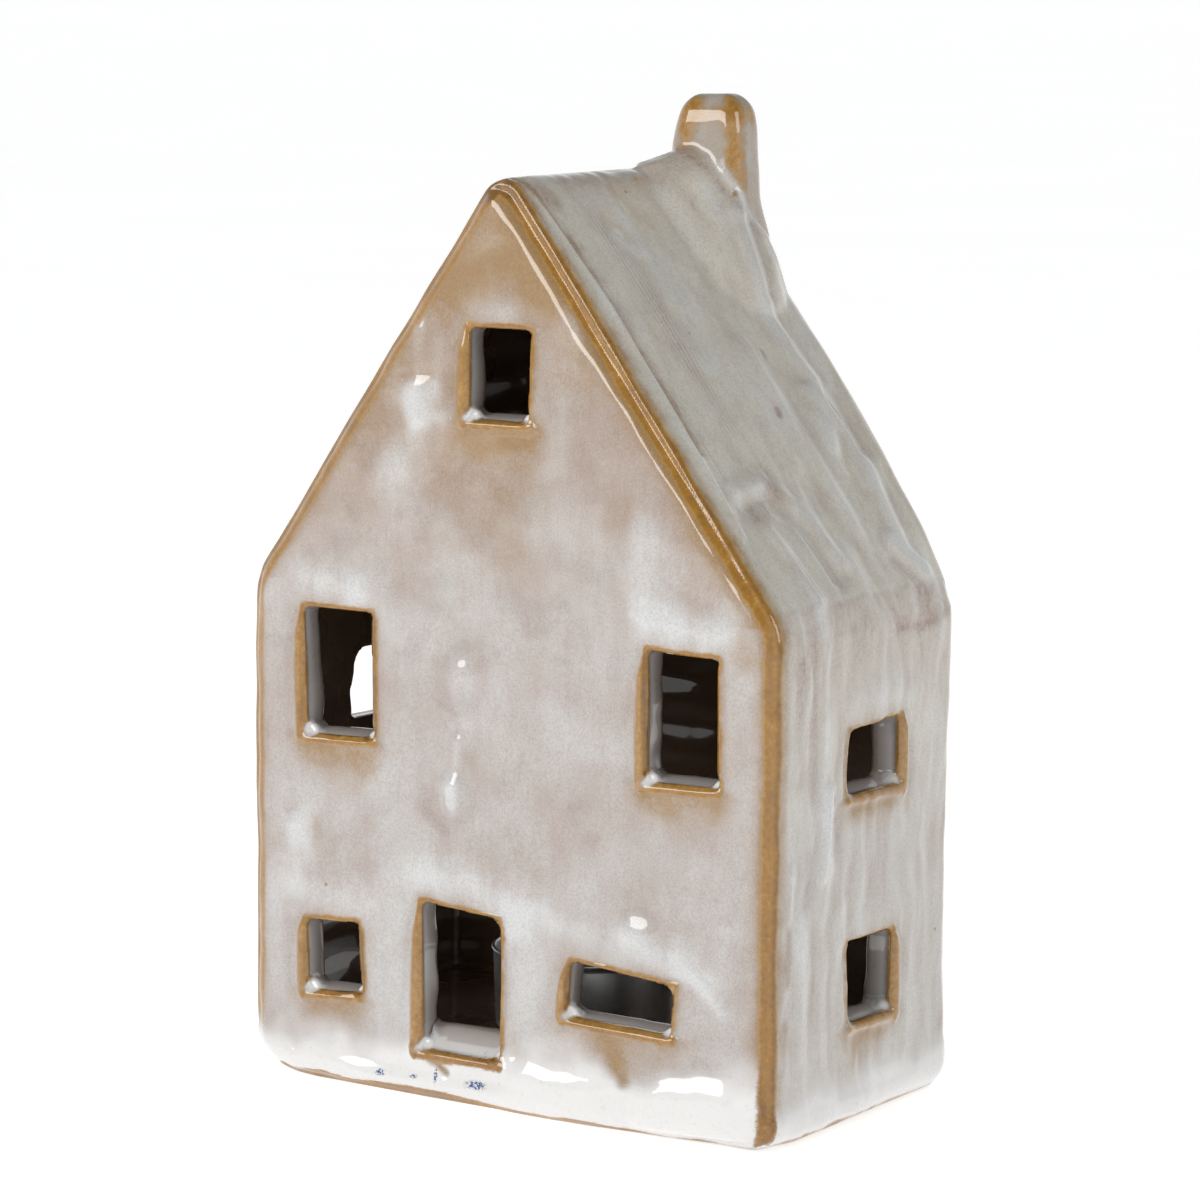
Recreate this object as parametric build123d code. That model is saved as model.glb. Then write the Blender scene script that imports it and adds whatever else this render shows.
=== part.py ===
from build123d import *
from dataclasses import dataclass
import os

# Ceramic tealight house, in millimetres. X runs to the right along the front, Y runs to the
# back and Z is up. The origin is on the table, under the middle of the house.

# House
house_width = 120.0
house_depth = 68.5
eave_height = 97.5
gable_rise = 82.5
chimney_above_peak = 11.0
peak_across_share = 0.481
slab_thickness = 6.5
floor_thickness = 9.5
peak_radius = 5.4
eave_radius = 14.0
foot_radius = 6.0
rim_radius = 5.0

# Cut edges
cut_corner_radius = 1.6
worn_corner_radius = 4.0
lip_radius = 0.9
cut_overrun = 2.0

# Front openings
attic_window_width = 14.1
attic_window_height = 17.4
attic_window_across_share = 0.491
attic_window_up_gable_share = 0.408
left_window_width = 17.0
left_window_height = 24.8
left_window_across_share = 0.182
left_window_up_wall_share = 0.695
right_window_width = 15.9
right_window_height = 24.8
right_window_across_share = 0.834
right_window_up_wall_share = 0.685
small_window_width = 13.5
small_window_height = 14.9
small_window_across_share = 0.175
small_window_up_wall_share = 0.177
door_width = 18.6
door_height = 28.8
door_across_share = 0.424
wide_window_width = 24.3
wide_window_height = 11.3
wide_window_across_share = 0.728
wide_window_up_wall_share = 0.203

# Side openings, with their places measured from the front towards the back
right_upper_width = 19.8
right_upper_height = 13.4
right_upper_back_share = 0.533
right_upper_up_wall_share = 0.645
right_lower_width = 17.0
right_lower_height = 16.1
right_lower_back_share = 0.531
right_lower_up_wall_share = 0.199
left_upper_width = 20.4
left_upper_height = 15.2
left_upper_back_share = 0.525
left_upper_up_wall_share = 0.669
left_lower_width = 17.0
left_lower_height = 16.1
left_lower_back_share = 0.545
left_lower_up_wall_share = 0.199

# Rear opening, which lets a tealight slide in over the floor
rear_side_clearance = 4.0
rear_finger_room = 28.0

# Chimney
chimney_foot_width = 19.8
chimney_top_width = 15.0
chimney_depth = 10.6
chimney_from_back = 0.8
chimney_past_peak = 1.5
chimney_lean = 1.3
chimney_edge_radius = 4.0
clay_sink = 1.0
clay_overlap = 3.0

# Tealight
cup_diameter = 38.0
cup_height = 16.0
cup_wall = 0.4
cup_taper = 0.5
cup_rim_radius = 0.45
cup_standing_gap = 0.3
wax_gap = 0.1
wax_height = 12.6
wick_diameter = 1.6
wick_above_wax = 7.0
sustainer_diameter = 12.0
sustainer_thickness = 0.4
sustainer_neck_height = 2.6
sustainer_neck_wall = 0.45
wick_gap = 0.05
tealight_across_share = 0.479
tealight_back_share = 0.507

# Places worked out from the sizes above
half_width = house_width / 2
half_depth = house_depth / 2
peak_height = eave_height + gable_rise
house_height = peak_height + chimney_above_peak
peak_x = house_width * peak_across_share - half_width
tealight_x = house_width * tealight_across_share - half_width
tealight_y = house_depth * tealight_back_share - half_depth
cup_radius = cup_diameter / 2
wick_radius = wick_diameter / 2

# Corners of a hand-cut opening, as shares of its width and height, from the bottom left one
# anticlockwise as seen from outside
attic_window_corner_shares = ((0.0, 0.0), (0.95, 0.02), (1.0, 1.0), (0.0, 1.0))
left_window_corner_shares = ((0.06, 0.0), (1.0, 0.02), (0.97, 1.0), (0.0, 1.0))
right_window_corner_shares = ((0.01, 0.0), (1.0, 0.02), (0.98, 0.99), (0.0, 1.0))
small_window_corner_shares = ((0.04, 0.0), (1.0, 0.06), (0.94, 1.0), (0.0, 0.95))
door_corner_shares = ((0.02, 0.0), (1.0, 0.0), (0.99, 0.95), (0.0, 1.0))
wide_window_corner_shares = ((0.0, 0.05), (0.95, 0.0), (1.0, 0.88), (0.03, 1.0))
right_upper_corner_shares = ((0.0, 0.03), (1.0, 0.0), (1.0, 1.0), (0.04, 0.95))
right_lower_corner_shares = ((0.05, 0.02), (0.99, 0.0), (1.0, 0.99), (0.0, 1.0))
left_upper_corner_shares = ((0.0, 0.0), (1.0, 0.01), (0.95, 1.0), (0.01, 0.97))
left_lower_corner_shares = ((0.0, 0.02), (0.97, 0.0), (1.0, 0.98), (0.02, 1.0))

# Where the clay smeared round the chimney's foot ends on the chimney: shares of the chimney's foot
# width from its left, of its depth from its front, and of the gable's rise from the peak down
clay_edge_shares = (
    (0.055, 0.580, 0.066),
    (0.090, 0.203, 0.044),
    (0.171, 0.042, 0.026),
    (0.302, 0.035, 0.006),
    (0.534, 0.035, 0.010),
    (0.751, 0.040, 0.036),
    (0.890, 0.110, 0.076),
    (0.938, 0.200, 0.105),
    (0.955, 0.265, 0.132),
    (0.962, 0.535, 0.192),
    (0.972, 0.790, 0.226),
)
# Where that clay runs out on the roof, as shares of the same width and depth
clay_foot_shares = (
    (-0.110, 0.110),
    (0.015, -0.740),
    (0.165, -1.020),
    (0.342, -1.210),
    (0.595, -1.350),
    (0.847, -1.400),
    (1.100, -1.300),
    (1.302, -0.930),
    (1.378, -0.360),
    (1.327, 0.300),
    (1.176, 0.815),
)


@dataclass
class Opening:
    """An opening cut by hand, placed along its wall and up from the table."""

    width: float
    height: float
    centre: float
    sill: float
    corner_shares: tuple
    worn_corners: tuple = ()
    square_corners: tuple = ()

    def corners(self):
        left = self.centre - self.width / 2
        return [
            (left + self.width * across, self.sill + self.height * up)
            for across, up in self.corner_shares
        ]

    def outline(self):
        """The cut's flat outline: soft corners, some worn rounder and some left square."""
        face = make_face(Polyline(*self.corners(), close=True))
        for index, place in enumerate(self.corners()):
            if index in self.square_corners:
                continue
            radius = worn_corner_radius if index in self.worn_corners else cut_corner_radius
            corner = face.vertices().sort_by_distance(Vector(*place, 0))[0]
            face = fillet(corner, radius)
        return face


def along_front(share):
    return house_width * share - half_width


def along_side(share):
    return house_depth * share - half_depth


def up_wall(share):
    return eave_height * share


front_openings = [
    Opening(
        attic_window_width,
        attic_window_height,
        along_front(attic_window_across_share),
        eave_height + gable_rise * attic_window_up_gable_share,
        attic_window_corner_shares,
    ),
    Opening(
        left_window_width,
        left_window_height,
        along_front(left_window_across_share),
        up_wall(left_window_up_wall_share),
        left_window_corner_shares,
    ),
    Opening(
        right_window_width,
        right_window_height,
        along_front(right_window_across_share),
        up_wall(right_window_up_wall_share),
        right_window_corner_shares,
    ),
    Opening(
        small_window_width,
        small_window_height,
        along_front(small_window_across_share),
        up_wall(small_window_up_wall_share),
        small_window_corner_shares,
    ),
    Opening(
        wide_window_width,
        wide_window_height,
        along_front(wide_window_across_share),
        up_wall(wide_window_up_wall_share),
        wide_window_corner_shares,
        worn_corners=(2,),
    ),
    Opening(
        door_width,
        door_height,
        along_front(door_across_share),
        floor_thickness,
        door_corner_shares,
        worn_corners=(2,),
        square_corners=(0, 1),
    ),
]
right_openings = [
    Opening(
        right_upper_width,
        right_upper_height,
        along_side(right_upper_back_share),
        up_wall(right_upper_up_wall_share),
        right_upper_corner_shares,
    ),
    Opening(
        right_lower_width,
        right_lower_height,
        along_side(right_lower_back_share),
        up_wall(right_lower_up_wall_share),
        right_lower_corner_shares,
    ),
]
# Seen from outside, the left wall runs from the back to the front
left_openings = [
    Opening(
        left_upper_width,
        left_upper_height,
        -along_side(left_upper_back_share),
        up_wall(left_upper_up_wall_share),
        left_upper_corner_shares,
        worn_corners=(2,),
    ),
    Opening(
        left_lower_width,
        left_lower_height,
        -along_side(left_lower_back_share),
        up_wall(left_lower_up_wall_share),
        left_lower_corner_shares,
    ),
]

# The outer planes of the four walls: local x runs to the right as seen from outside, local y up
front_plane = Plane((0, -half_depth, 0), x_dir=(1, 0, 0), z_dir=(0, -1, 0))
back_plane = Plane((0, half_depth, 0), x_dir=(-1, 0, 0), z_dir=(0, 1, 0))
right_plane = Plane((half_width, 0, 0), x_dir=(0, 1, 0), z_dir=(1, 0, 0))
left_plane = Plane((-half_width, 0, 0), x_dir=(0, -1, 0), z_dir=(-1, 0, 0))

# Sharp corners of the house seen from the front, as (x, z)
foot_left = Vector(-half_width, 0)
foot_right = Vector(half_width, 0)
eave_left = Vector(-half_width, eave_height)
eave_right = Vector(half_width, eave_height)
peak = Vector(peak_x, peak_height)


def inner_corner(before, corner, after):
    """The corner moved inward by one slab, where the outline turns left at each corner."""
    arriving = (corner - before).normalized()
    leaving = (after - corner).normalized()
    inward_before = Vector(-arriving.Y, arriving.X)
    inward_after = Vector(-leaving.Y, leaving.X)
    spread = 1 + inward_before.dot(inward_after)
    return corner + (inward_before + inward_after) * (slab_thickness / spread)


def upright(points, front_y, back_y):
    """A block with an outline of (x, z) points, reaching from front_y to back_y."""
    face = make_face(Polyline(*[(point.X, point.Y) for point in points], close=True))
    return extrude(Plane((0, front_y, 0), (1, 0, 0), (0, -1, 0)) * face, -(back_y - front_y))


def house_envelope():
    """The solid outer form of the house without its chimney, rounded along every edge."""
    points = [foot_left, foot_right, eave_right, peak, eave_left]
    radii = [foot_radius, foot_radius, eave_radius, peak_radius, eave_radius]
    face = make_face(Polyline(*[(point.X, point.Y) for point in points], close=True))
    for point, radius in zip(points, radii):
        corner = face.vertices().sort_by_distance(Vector(point.X, point.Y, 0))[0]
        face = fillet(corner, radius)
    block = extrude(front_plane * face, -house_depth)
    ends = block.faces().sort_by(Axis.Y)
    rim_edges = ends[0].edges() + ends[-1].edges()
    return fillet(rim_edges, min(rim_radius, foot_radius, eave_radius, peak_radius))


envelope = house_envelope()


def cut_openings(slab, plane, openings):
    """The slab with its openings cut right through and their outer lips softened."""
    outside = plane.offset(cut_overrun)
    for opening in openings:
        slab = slab - extrude(outside * opening.outline(), -(slab_thickness + 2 * cut_overrun))
    return soften_lips(slab, plane, openings)


def soften_lips(slab, plane, openings):
    lips = []
    for edge in slab.edges():
        start = plane.to_local_coords(edge @ 0)
        middle = plane.to_local_coords(edge @ 0.5)
        on_face = max(abs(start.Z), abs(middle.Z)) < lip_radius / 2
        if on_face and any(inside(opening, middle) for opening in openings):
            lips.append(edge)
    return fillet(lips, min(lip_radius, cut_corner_radius))


def inside(opening, place):
    across = abs(place.X - opening.centre) < opening.width / 2 + lip_radius
    up = opening.sill - lip_radius < place.Y < opening.sill + opening.height + lip_radius
    return across and up


def floor_slab():
    tall = foot_left + Vector(0, floor_thickness)
    wide = foot_right + Vector(0, floor_thickness)
    return envelope & upright([foot_left, foot_right, wide, tall], -half_depth, half_depth)


def gable(front_y, back_y):
    """A gable slab, standing on the floor slab."""
    low_left = foot_left + Vector(0, floor_thickness)
    low_right = foot_right + Vector(0, floor_thickness)
    outline = [low_left, low_right, eave_right, peak, eave_left]
    return envelope & upright(outline, front_y, back_y)


def front_gable():
    """The front slab has the windows, and the doorway reaches down to the floor slab."""
    slab = gable(-half_depth, -half_depth + slab_thickness)
    return cut_openings(slab, front_plane, front_openings)


def back_gable():
    """The back slab has an arched opening that is wider than a tealight."""
    slab = gable(half_depth - slab_thickness, half_depth)
    half_opening = cup_radius + rear_side_clearance
    spring_height = cup_height + rear_finger_room - half_opening
    low = back_plane.offset(cut_overrun) * Pos(-tealight_x, floor_thickness + spring_height / 2)
    arch = back_plane.offset(cut_overrun) * Pos(-tealight_x, floor_thickness + spring_height)
    depth = slab_thickness + 2 * cut_overrun
    slab = slab - extrude(low * Rectangle(2 * half_opening, spring_height), -depth)
    slab = slab - extrude(arch * Circle(half_opening), -depth)
    rear_opening = Opening(
        2 * half_opening,
        cup_height + rear_finger_room,
        -tealight_x,
        floor_thickness,
        (),
    )
    return soften_lips(slab, back_plane, [rear_opening])


def between_gables(points):
    block = upright(points, -half_depth + slab_thickness, half_depth - slab_thickness)
    return envelope & block


inner_eave_left = inner_corner(peak, eave_left, foot_left)
inner_eave_right = inner_corner(foot_right, eave_right, peak)
inner_peak = inner_corner(eave_right, peak, eave_left)


def side_wall(foot, eave, inner_eave, plane, openings):
    """A side wall, standing on the floor slab and mitred to its roof slab at the eave."""
    low_outer = Vector(foot.X, floor_thickness)
    low_inner = Vector(inner_eave.X, floor_thickness)
    return cut_openings(between_gables([low_outer, low_inner, inner_eave, eave]), plane, openings)


def roof_slab(eave, inner_eave):
    """A roof slab, mitred to its wall at the eave and to the other roof slab at the peak."""
    return between_gables([eave, inner_eave, inner_peak, peak])


chimney_left = peak_x - chimney_past_peak
chimney_right = chimney_left + chimney_foot_width
chimney_back = half_depth - chimney_from_back
chimney_front = chimney_back - chimney_depth


def chimney_block():
    """A closed block that tapers upwards, with soft edges and a soft top."""
    top_middle = (chimney_left + chimney_right) / 2 + chimney_lean
    points = [
        Vector(chimney_left, eave_height),
        Vector(chimney_right, eave_height),
        Vector(chimney_right, peak_height - chimney_foot_width),
        Vector(top_middle + chimney_top_width / 2, house_height),
        Vector(top_middle - chimney_top_width / 2, house_height),
        Vector(chimney_left, peak_height - chimney_foot_width / 2),
    ]
    block = upright(points, chimney_front, chimney_back)
    top_edges = block.faces().sort_by(Axis.Z)[-1].edges()
    standing_edges = [edge for edge in block.edges() if abs(edge.tangent_at(0.5).Z) > 0.5]
    return fillet(top_edges + standing_edges, chimney_edge_radius)


def roof_height(x):
    """Height of the roof's outer planes at a place along the front."""
    run = half_width - peak_x if x > peak_x else half_width + peak_x
    return peak_height - gable_rise * abs(x - peak_x) / run


def smeared_clay():
    """The clay that joins the chimney to the roof, run on into the one and under the other."""
    points = []
    for edge, foot in zip(clay_edge_shares, clay_foot_shares):
        across, back, down = edge
        x = chimney_left + chimney_foot_width * across
        y = chimney_front + chimney_depth * back
        high = Vector(x, y, peak_height - gable_rise * down)
        across, back = foot
        x = chimney_left + chimney_foot_width * across
        y = chimney_front + chimney_depth * back
        low = Vector(x, y, roof_height(x) - clay_sink)
        points.append(high + (high - low).normalized() * clay_overlap)
        points.append(low)
    return ConvexPolyhedron(points)


def chimney():
    """The chimney and the clay round its foot, cut to sit on the roof at the back of the peak."""
    shape = chimney_block() + smeared_clay()
    return (shape - envelope).solids().sort_by(Axis.Z)[-1]


cup_bottom = floor_thickness + cup_standing_gap
cup_inner_bottom = cup_bottom + cup_wall
wax_top = cup_inner_bottom + wax_height


def turned(points):
    """A solid of revolution about the tealight's own axis, from (radius, height) points."""
    face = make_face(Polyline(*points, close=True))
    return Pos(tealight_x, tealight_y, 0) * revolve(Plane.XZ * face, Axis.Z)


def tealight_cup():
    """A pressed metal cup that widens a little to its rolled rim."""
    rim_height = cup_bottom + cup_height - cup_rim_radius
    wall_radius = cup_radius - cup_rim_radius
    base_radius = wall_radius - cup_taper
    cup = turned(
        [
            (0, cup_bottom),
            (base_radius, cup_bottom),
            (wall_radius, rim_height),
            (wall_radius - cup_wall, rim_height),
            (base_radius - cup_wall, cup_inner_bottom),
            (0, cup_inner_bottom),
        ]
    )
    rim = Pos(tealight_x, tealight_y, rim_height) * Torus(wall_radius, cup_rim_radius)
    return cup + rim


def tealight_wax():
    """The wax fills the cup round the foot of the wick and leaves a pocket for its holder."""
    base_radius = cup_radius - cup_rim_radius - cup_taper - cup_wall - wax_gap
    grown = cup_taper * wax_height / cup_height
    pocket_radius = sustainer_diameter / 2 + wax_gap
    pocket_top = cup_inner_bottom + sustainer_thickness + wax_gap
    neck_radius = wick_radius + wick_gap + sustainer_neck_wall + wax_gap
    neck_top = cup_inner_bottom + sustainer_neck_height + wax_gap
    return turned(
        [
            (pocket_radius, cup_inner_bottom),
            (base_radius, cup_inner_bottom),
            (base_radius + grown, wax_top),
            (wick_radius + wick_gap, wax_top),
            (wick_radius + wick_gap, neck_top),
            (neck_radius, neck_top),
            (neck_radius, pocket_top),
            (pocket_radius, pocket_top),
        ]
    )


def wick_sustainer():
    """A metal disc with a short neck that grips the foot of the wick."""
    neck_inner = wick_radius + wick_gap
    neck_outer = neck_inner + sustainer_neck_wall
    disc_top = cup_inner_bottom + sustainer_thickness
    neck_top = cup_inner_bottom + sustainer_neck_height
    return turned(
        [
            (0, cup_inner_bottom),
            (sustainer_diameter / 2, cup_inner_bottom),
            (sustainer_diameter / 2, disc_top),
            (neck_outer, disc_top),
            (neck_outer, neck_top),
            (neck_inner, neck_top),
            (neck_inner, disc_top),
            (0, disc_top),
        ]
    )


def wick():
    """The wick stands in its holder and comes up through the wax."""
    foot = cup_inner_bottom + sustainer_thickness
    length = wax_top + wick_above_wax - foot
    stem = Pos(tealight_x, tealight_y, foot + length / 2) * Cylinder(wick_radius, length)
    top = stem.edges().sort_by(Axis.Z)[-1]
    return fillet(top, wick_radius / 2)


pieces = {
    "floor_slab": floor_slab(),
    "front_gable": front_gable(),
    "back_gable": back_gable(),
    "left_wall": side_wall(foot_left, eave_left, inner_eave_left, left_plane, left_openings),
    "right_wall": side_wall(
        foot_right, eave_right, inner_eave_right, right_plane, right_openings
    ),
    "left_roof": roof_slab(eave_left, inner_eave_left),
    "right_roof": roof_slab(eave_right, inner_eave_right),
    "chimney": chimney(),
    "tealight_cup": tealight_cup(),
    "tealight_wax": tealight_wax(),
    "wick_sustainer": wick_sustainer(),
    "wick": wick(),
}

os.makedirs("parts", exist_ok=True)
for name, piece in pieces.items():
    piece.label = name
    export_step(piece, f"parts/{name}.step")
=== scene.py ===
"""Glazed ceramic tealight house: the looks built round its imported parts."""

import bmesh
import bpy
import numpy as np
from bpy.props import (
    FloatProperty,
    FloatVectorProperty,
    IntProperty,
    PointerProperty,
)
from mathutils import Matrix, Vector, kdtree, noise


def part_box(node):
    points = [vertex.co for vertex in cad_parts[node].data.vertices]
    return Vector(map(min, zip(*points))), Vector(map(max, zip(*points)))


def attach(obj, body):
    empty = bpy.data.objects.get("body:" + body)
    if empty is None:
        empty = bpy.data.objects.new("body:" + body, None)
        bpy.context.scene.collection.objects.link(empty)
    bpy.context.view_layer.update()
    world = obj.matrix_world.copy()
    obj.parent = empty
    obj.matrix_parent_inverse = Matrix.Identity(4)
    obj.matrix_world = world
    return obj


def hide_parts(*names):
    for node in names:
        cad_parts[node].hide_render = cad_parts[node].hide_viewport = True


bl_info = {
    "name": "Glazed tealight house",
    "version": (1, 0, 0),
    "blender": (4, 5, 0),
    "location": "3D View > Sidebar > Tealight house",
    "description": "Builds a glazed ceramic house for a tealight on its packed parts",
    "category": "Add Mesh",
}

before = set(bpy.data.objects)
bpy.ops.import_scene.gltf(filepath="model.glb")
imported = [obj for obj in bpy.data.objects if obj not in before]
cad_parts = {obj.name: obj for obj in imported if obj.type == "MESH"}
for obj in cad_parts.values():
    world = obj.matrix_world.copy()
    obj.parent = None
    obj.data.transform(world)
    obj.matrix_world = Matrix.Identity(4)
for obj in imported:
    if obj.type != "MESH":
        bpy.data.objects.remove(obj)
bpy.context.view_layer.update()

# Lengths in this file are millimetres unless a name says metres. X runs to the right along the
# front, Y to the back and Z up.
METRES = 0.001

# The house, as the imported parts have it
HALF_WIDTH = 60.0
HALF_DEPTH = 34.25
EAVE_HEIGHT = 97.5
PEAK_X = -2.28
PEAK_HEIGHT = 180.0
WALL = 6.5
FLOOR = 9.5
CHIMNEY_HEIGHT = 191.0
CHIMNEY_FRONT = 21.0
CHIMNEY_LOWEST = 150.0
CHIMNEY_MIDDLE = (6.9, 28.2)
TEALIGHT_X = -2.52
TEALIGHT_Y = 0.48

SLABS = (
    "floor_slab",
    "front_gable",
    "back_gable",
    "left_wall",
    "right_wall",
    "left_roof",
    "right_roof",
    "chimney",
)


def unit(vector):
    vector = np.asarray(vector, float)
    return vector / np.linalg.norm(vector)


def smooth_step(low, high, values):
    share = np.clip((values - low) / (high - low), 0.0, 1.0)
    return share * share * (3.0 - 2.0 * share)


def bell(distance, width):
    return np.exp(-((distance / width) ** 2))


def outer_skin(depth):
    """1 at the surface of a face, 0 deeper than its rounded edges reach."""
    return 1 - smooth_step(1.6, 2.4, depth)


class Face:
    """One outer face of the house, with its own coordinates: along, up, and depth below it."""

    def __init__(self, origin, along, up):
        self.origin = np.asarray(origin, float)
        self.along = unit(along)
        self.up = unit(up)
        self.out = np.cross(self.along, self.up)

    def places(self, points):
        moved = points - self.origin
        return moved @ self.along, moved @ self.up

    def depth(self, points):
        return -((points - self.origin) @ self.out)


EAVE_RIGHT = np.array([HALF_WIDTH, 0.0, EAVE_HEIGHT])
EAVE_LEFT = np.array([-HALF_WIDTH, 0.0, EAVE_HEIGHT])
PEAK = np.array([PEAK_X, 0.0, PEAK_HEIGHT])
ROOF_SLOPE = float(np.linalg.norm(PEAK - EAVE_RIGHT))
FACES = {
    "front": Face((0, -HALF_DEPTH, 0), (1, 0, 0), (0, 0, 1)),
    "back": Face((0, HALF_DEPTH, 0), (-1, 0, 0), (0, 0, 1)),
    "right": Face((HALF_WIDTH, 0, 0), (0, 1, 0), (0, 0, 1)),
    "left": Face((-HALF_WIDTH, 0, 0), (0, -1, 0), (0, 0, 1)),
    "right_roof": Face(EAVE_RIGHT, (0, 1, 0), PEAK - EAVE_RIGHT),
    "left_roof": Face(EAVE_LEFT, (0, -1, 0), PEAK - EAVE_LEFT),
}

# Openings: face, corners from the bottom left one anticlockwise as seen from outside
OPENINGS = {
    "attic_window": ("front", ((-8.1, 131.2), (5.3, 131.5), (6.0, 148.6), (-8.1, 148.6))),
    "left_window": ("front", ((-45.6, 67.8), (-29.7, 68.3), (-30.2, 92.6), (-46.7, 92.6))),
    "right_window": ("front", ((32.3, 66.8), (48.0, 67.3), (47.7, 91.3), (32.1, 91.6))),
    "small_window": ("front", ((-45.2, 17.3), (-32.2, 18.2), (-33.1, 32.2), (-45.8, 31.4))),
    "wide_window": ("front", ((15.2, 20.4), (38.3, 19.8), (39.5, 29.7), (15.9, 31.1))),
    "doorway": ("front", ((-18.0, 9.5), (0.2, 9.5), (0.0, 36.9), (-18.4, 38.3))),
    "right_upper": ("right", ((-7.6, 63.3), (12.2, 62.9), (12.2, 76.3), (-6.8, 75.6))),
    "right_lower": ("right", ((-5.5, 19.7), (10.5, 19.4), (10.6, 35.3), (-6.4, 35.5))),
    "left_upper": ("left", ((-11.9, 65.2), (8.5, 65.4), (7.5, 80.4), (-11.7, 80.0))),
    "left_lower": ("left", ((-11.6, 19.7), (4.9, 19.4), (5.4, 35.2), (-11.2, 35.5))),
    "rear_opening": ("back", ((-20.5, 9.5), (25.5, 9.5), (25.5, 30.5), (-20.5, 30.5))),
}
REAR_ARCH_CENTRE = (2.52, 30.5)
REAR_ARCH_RADIUS = 23.0

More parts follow.
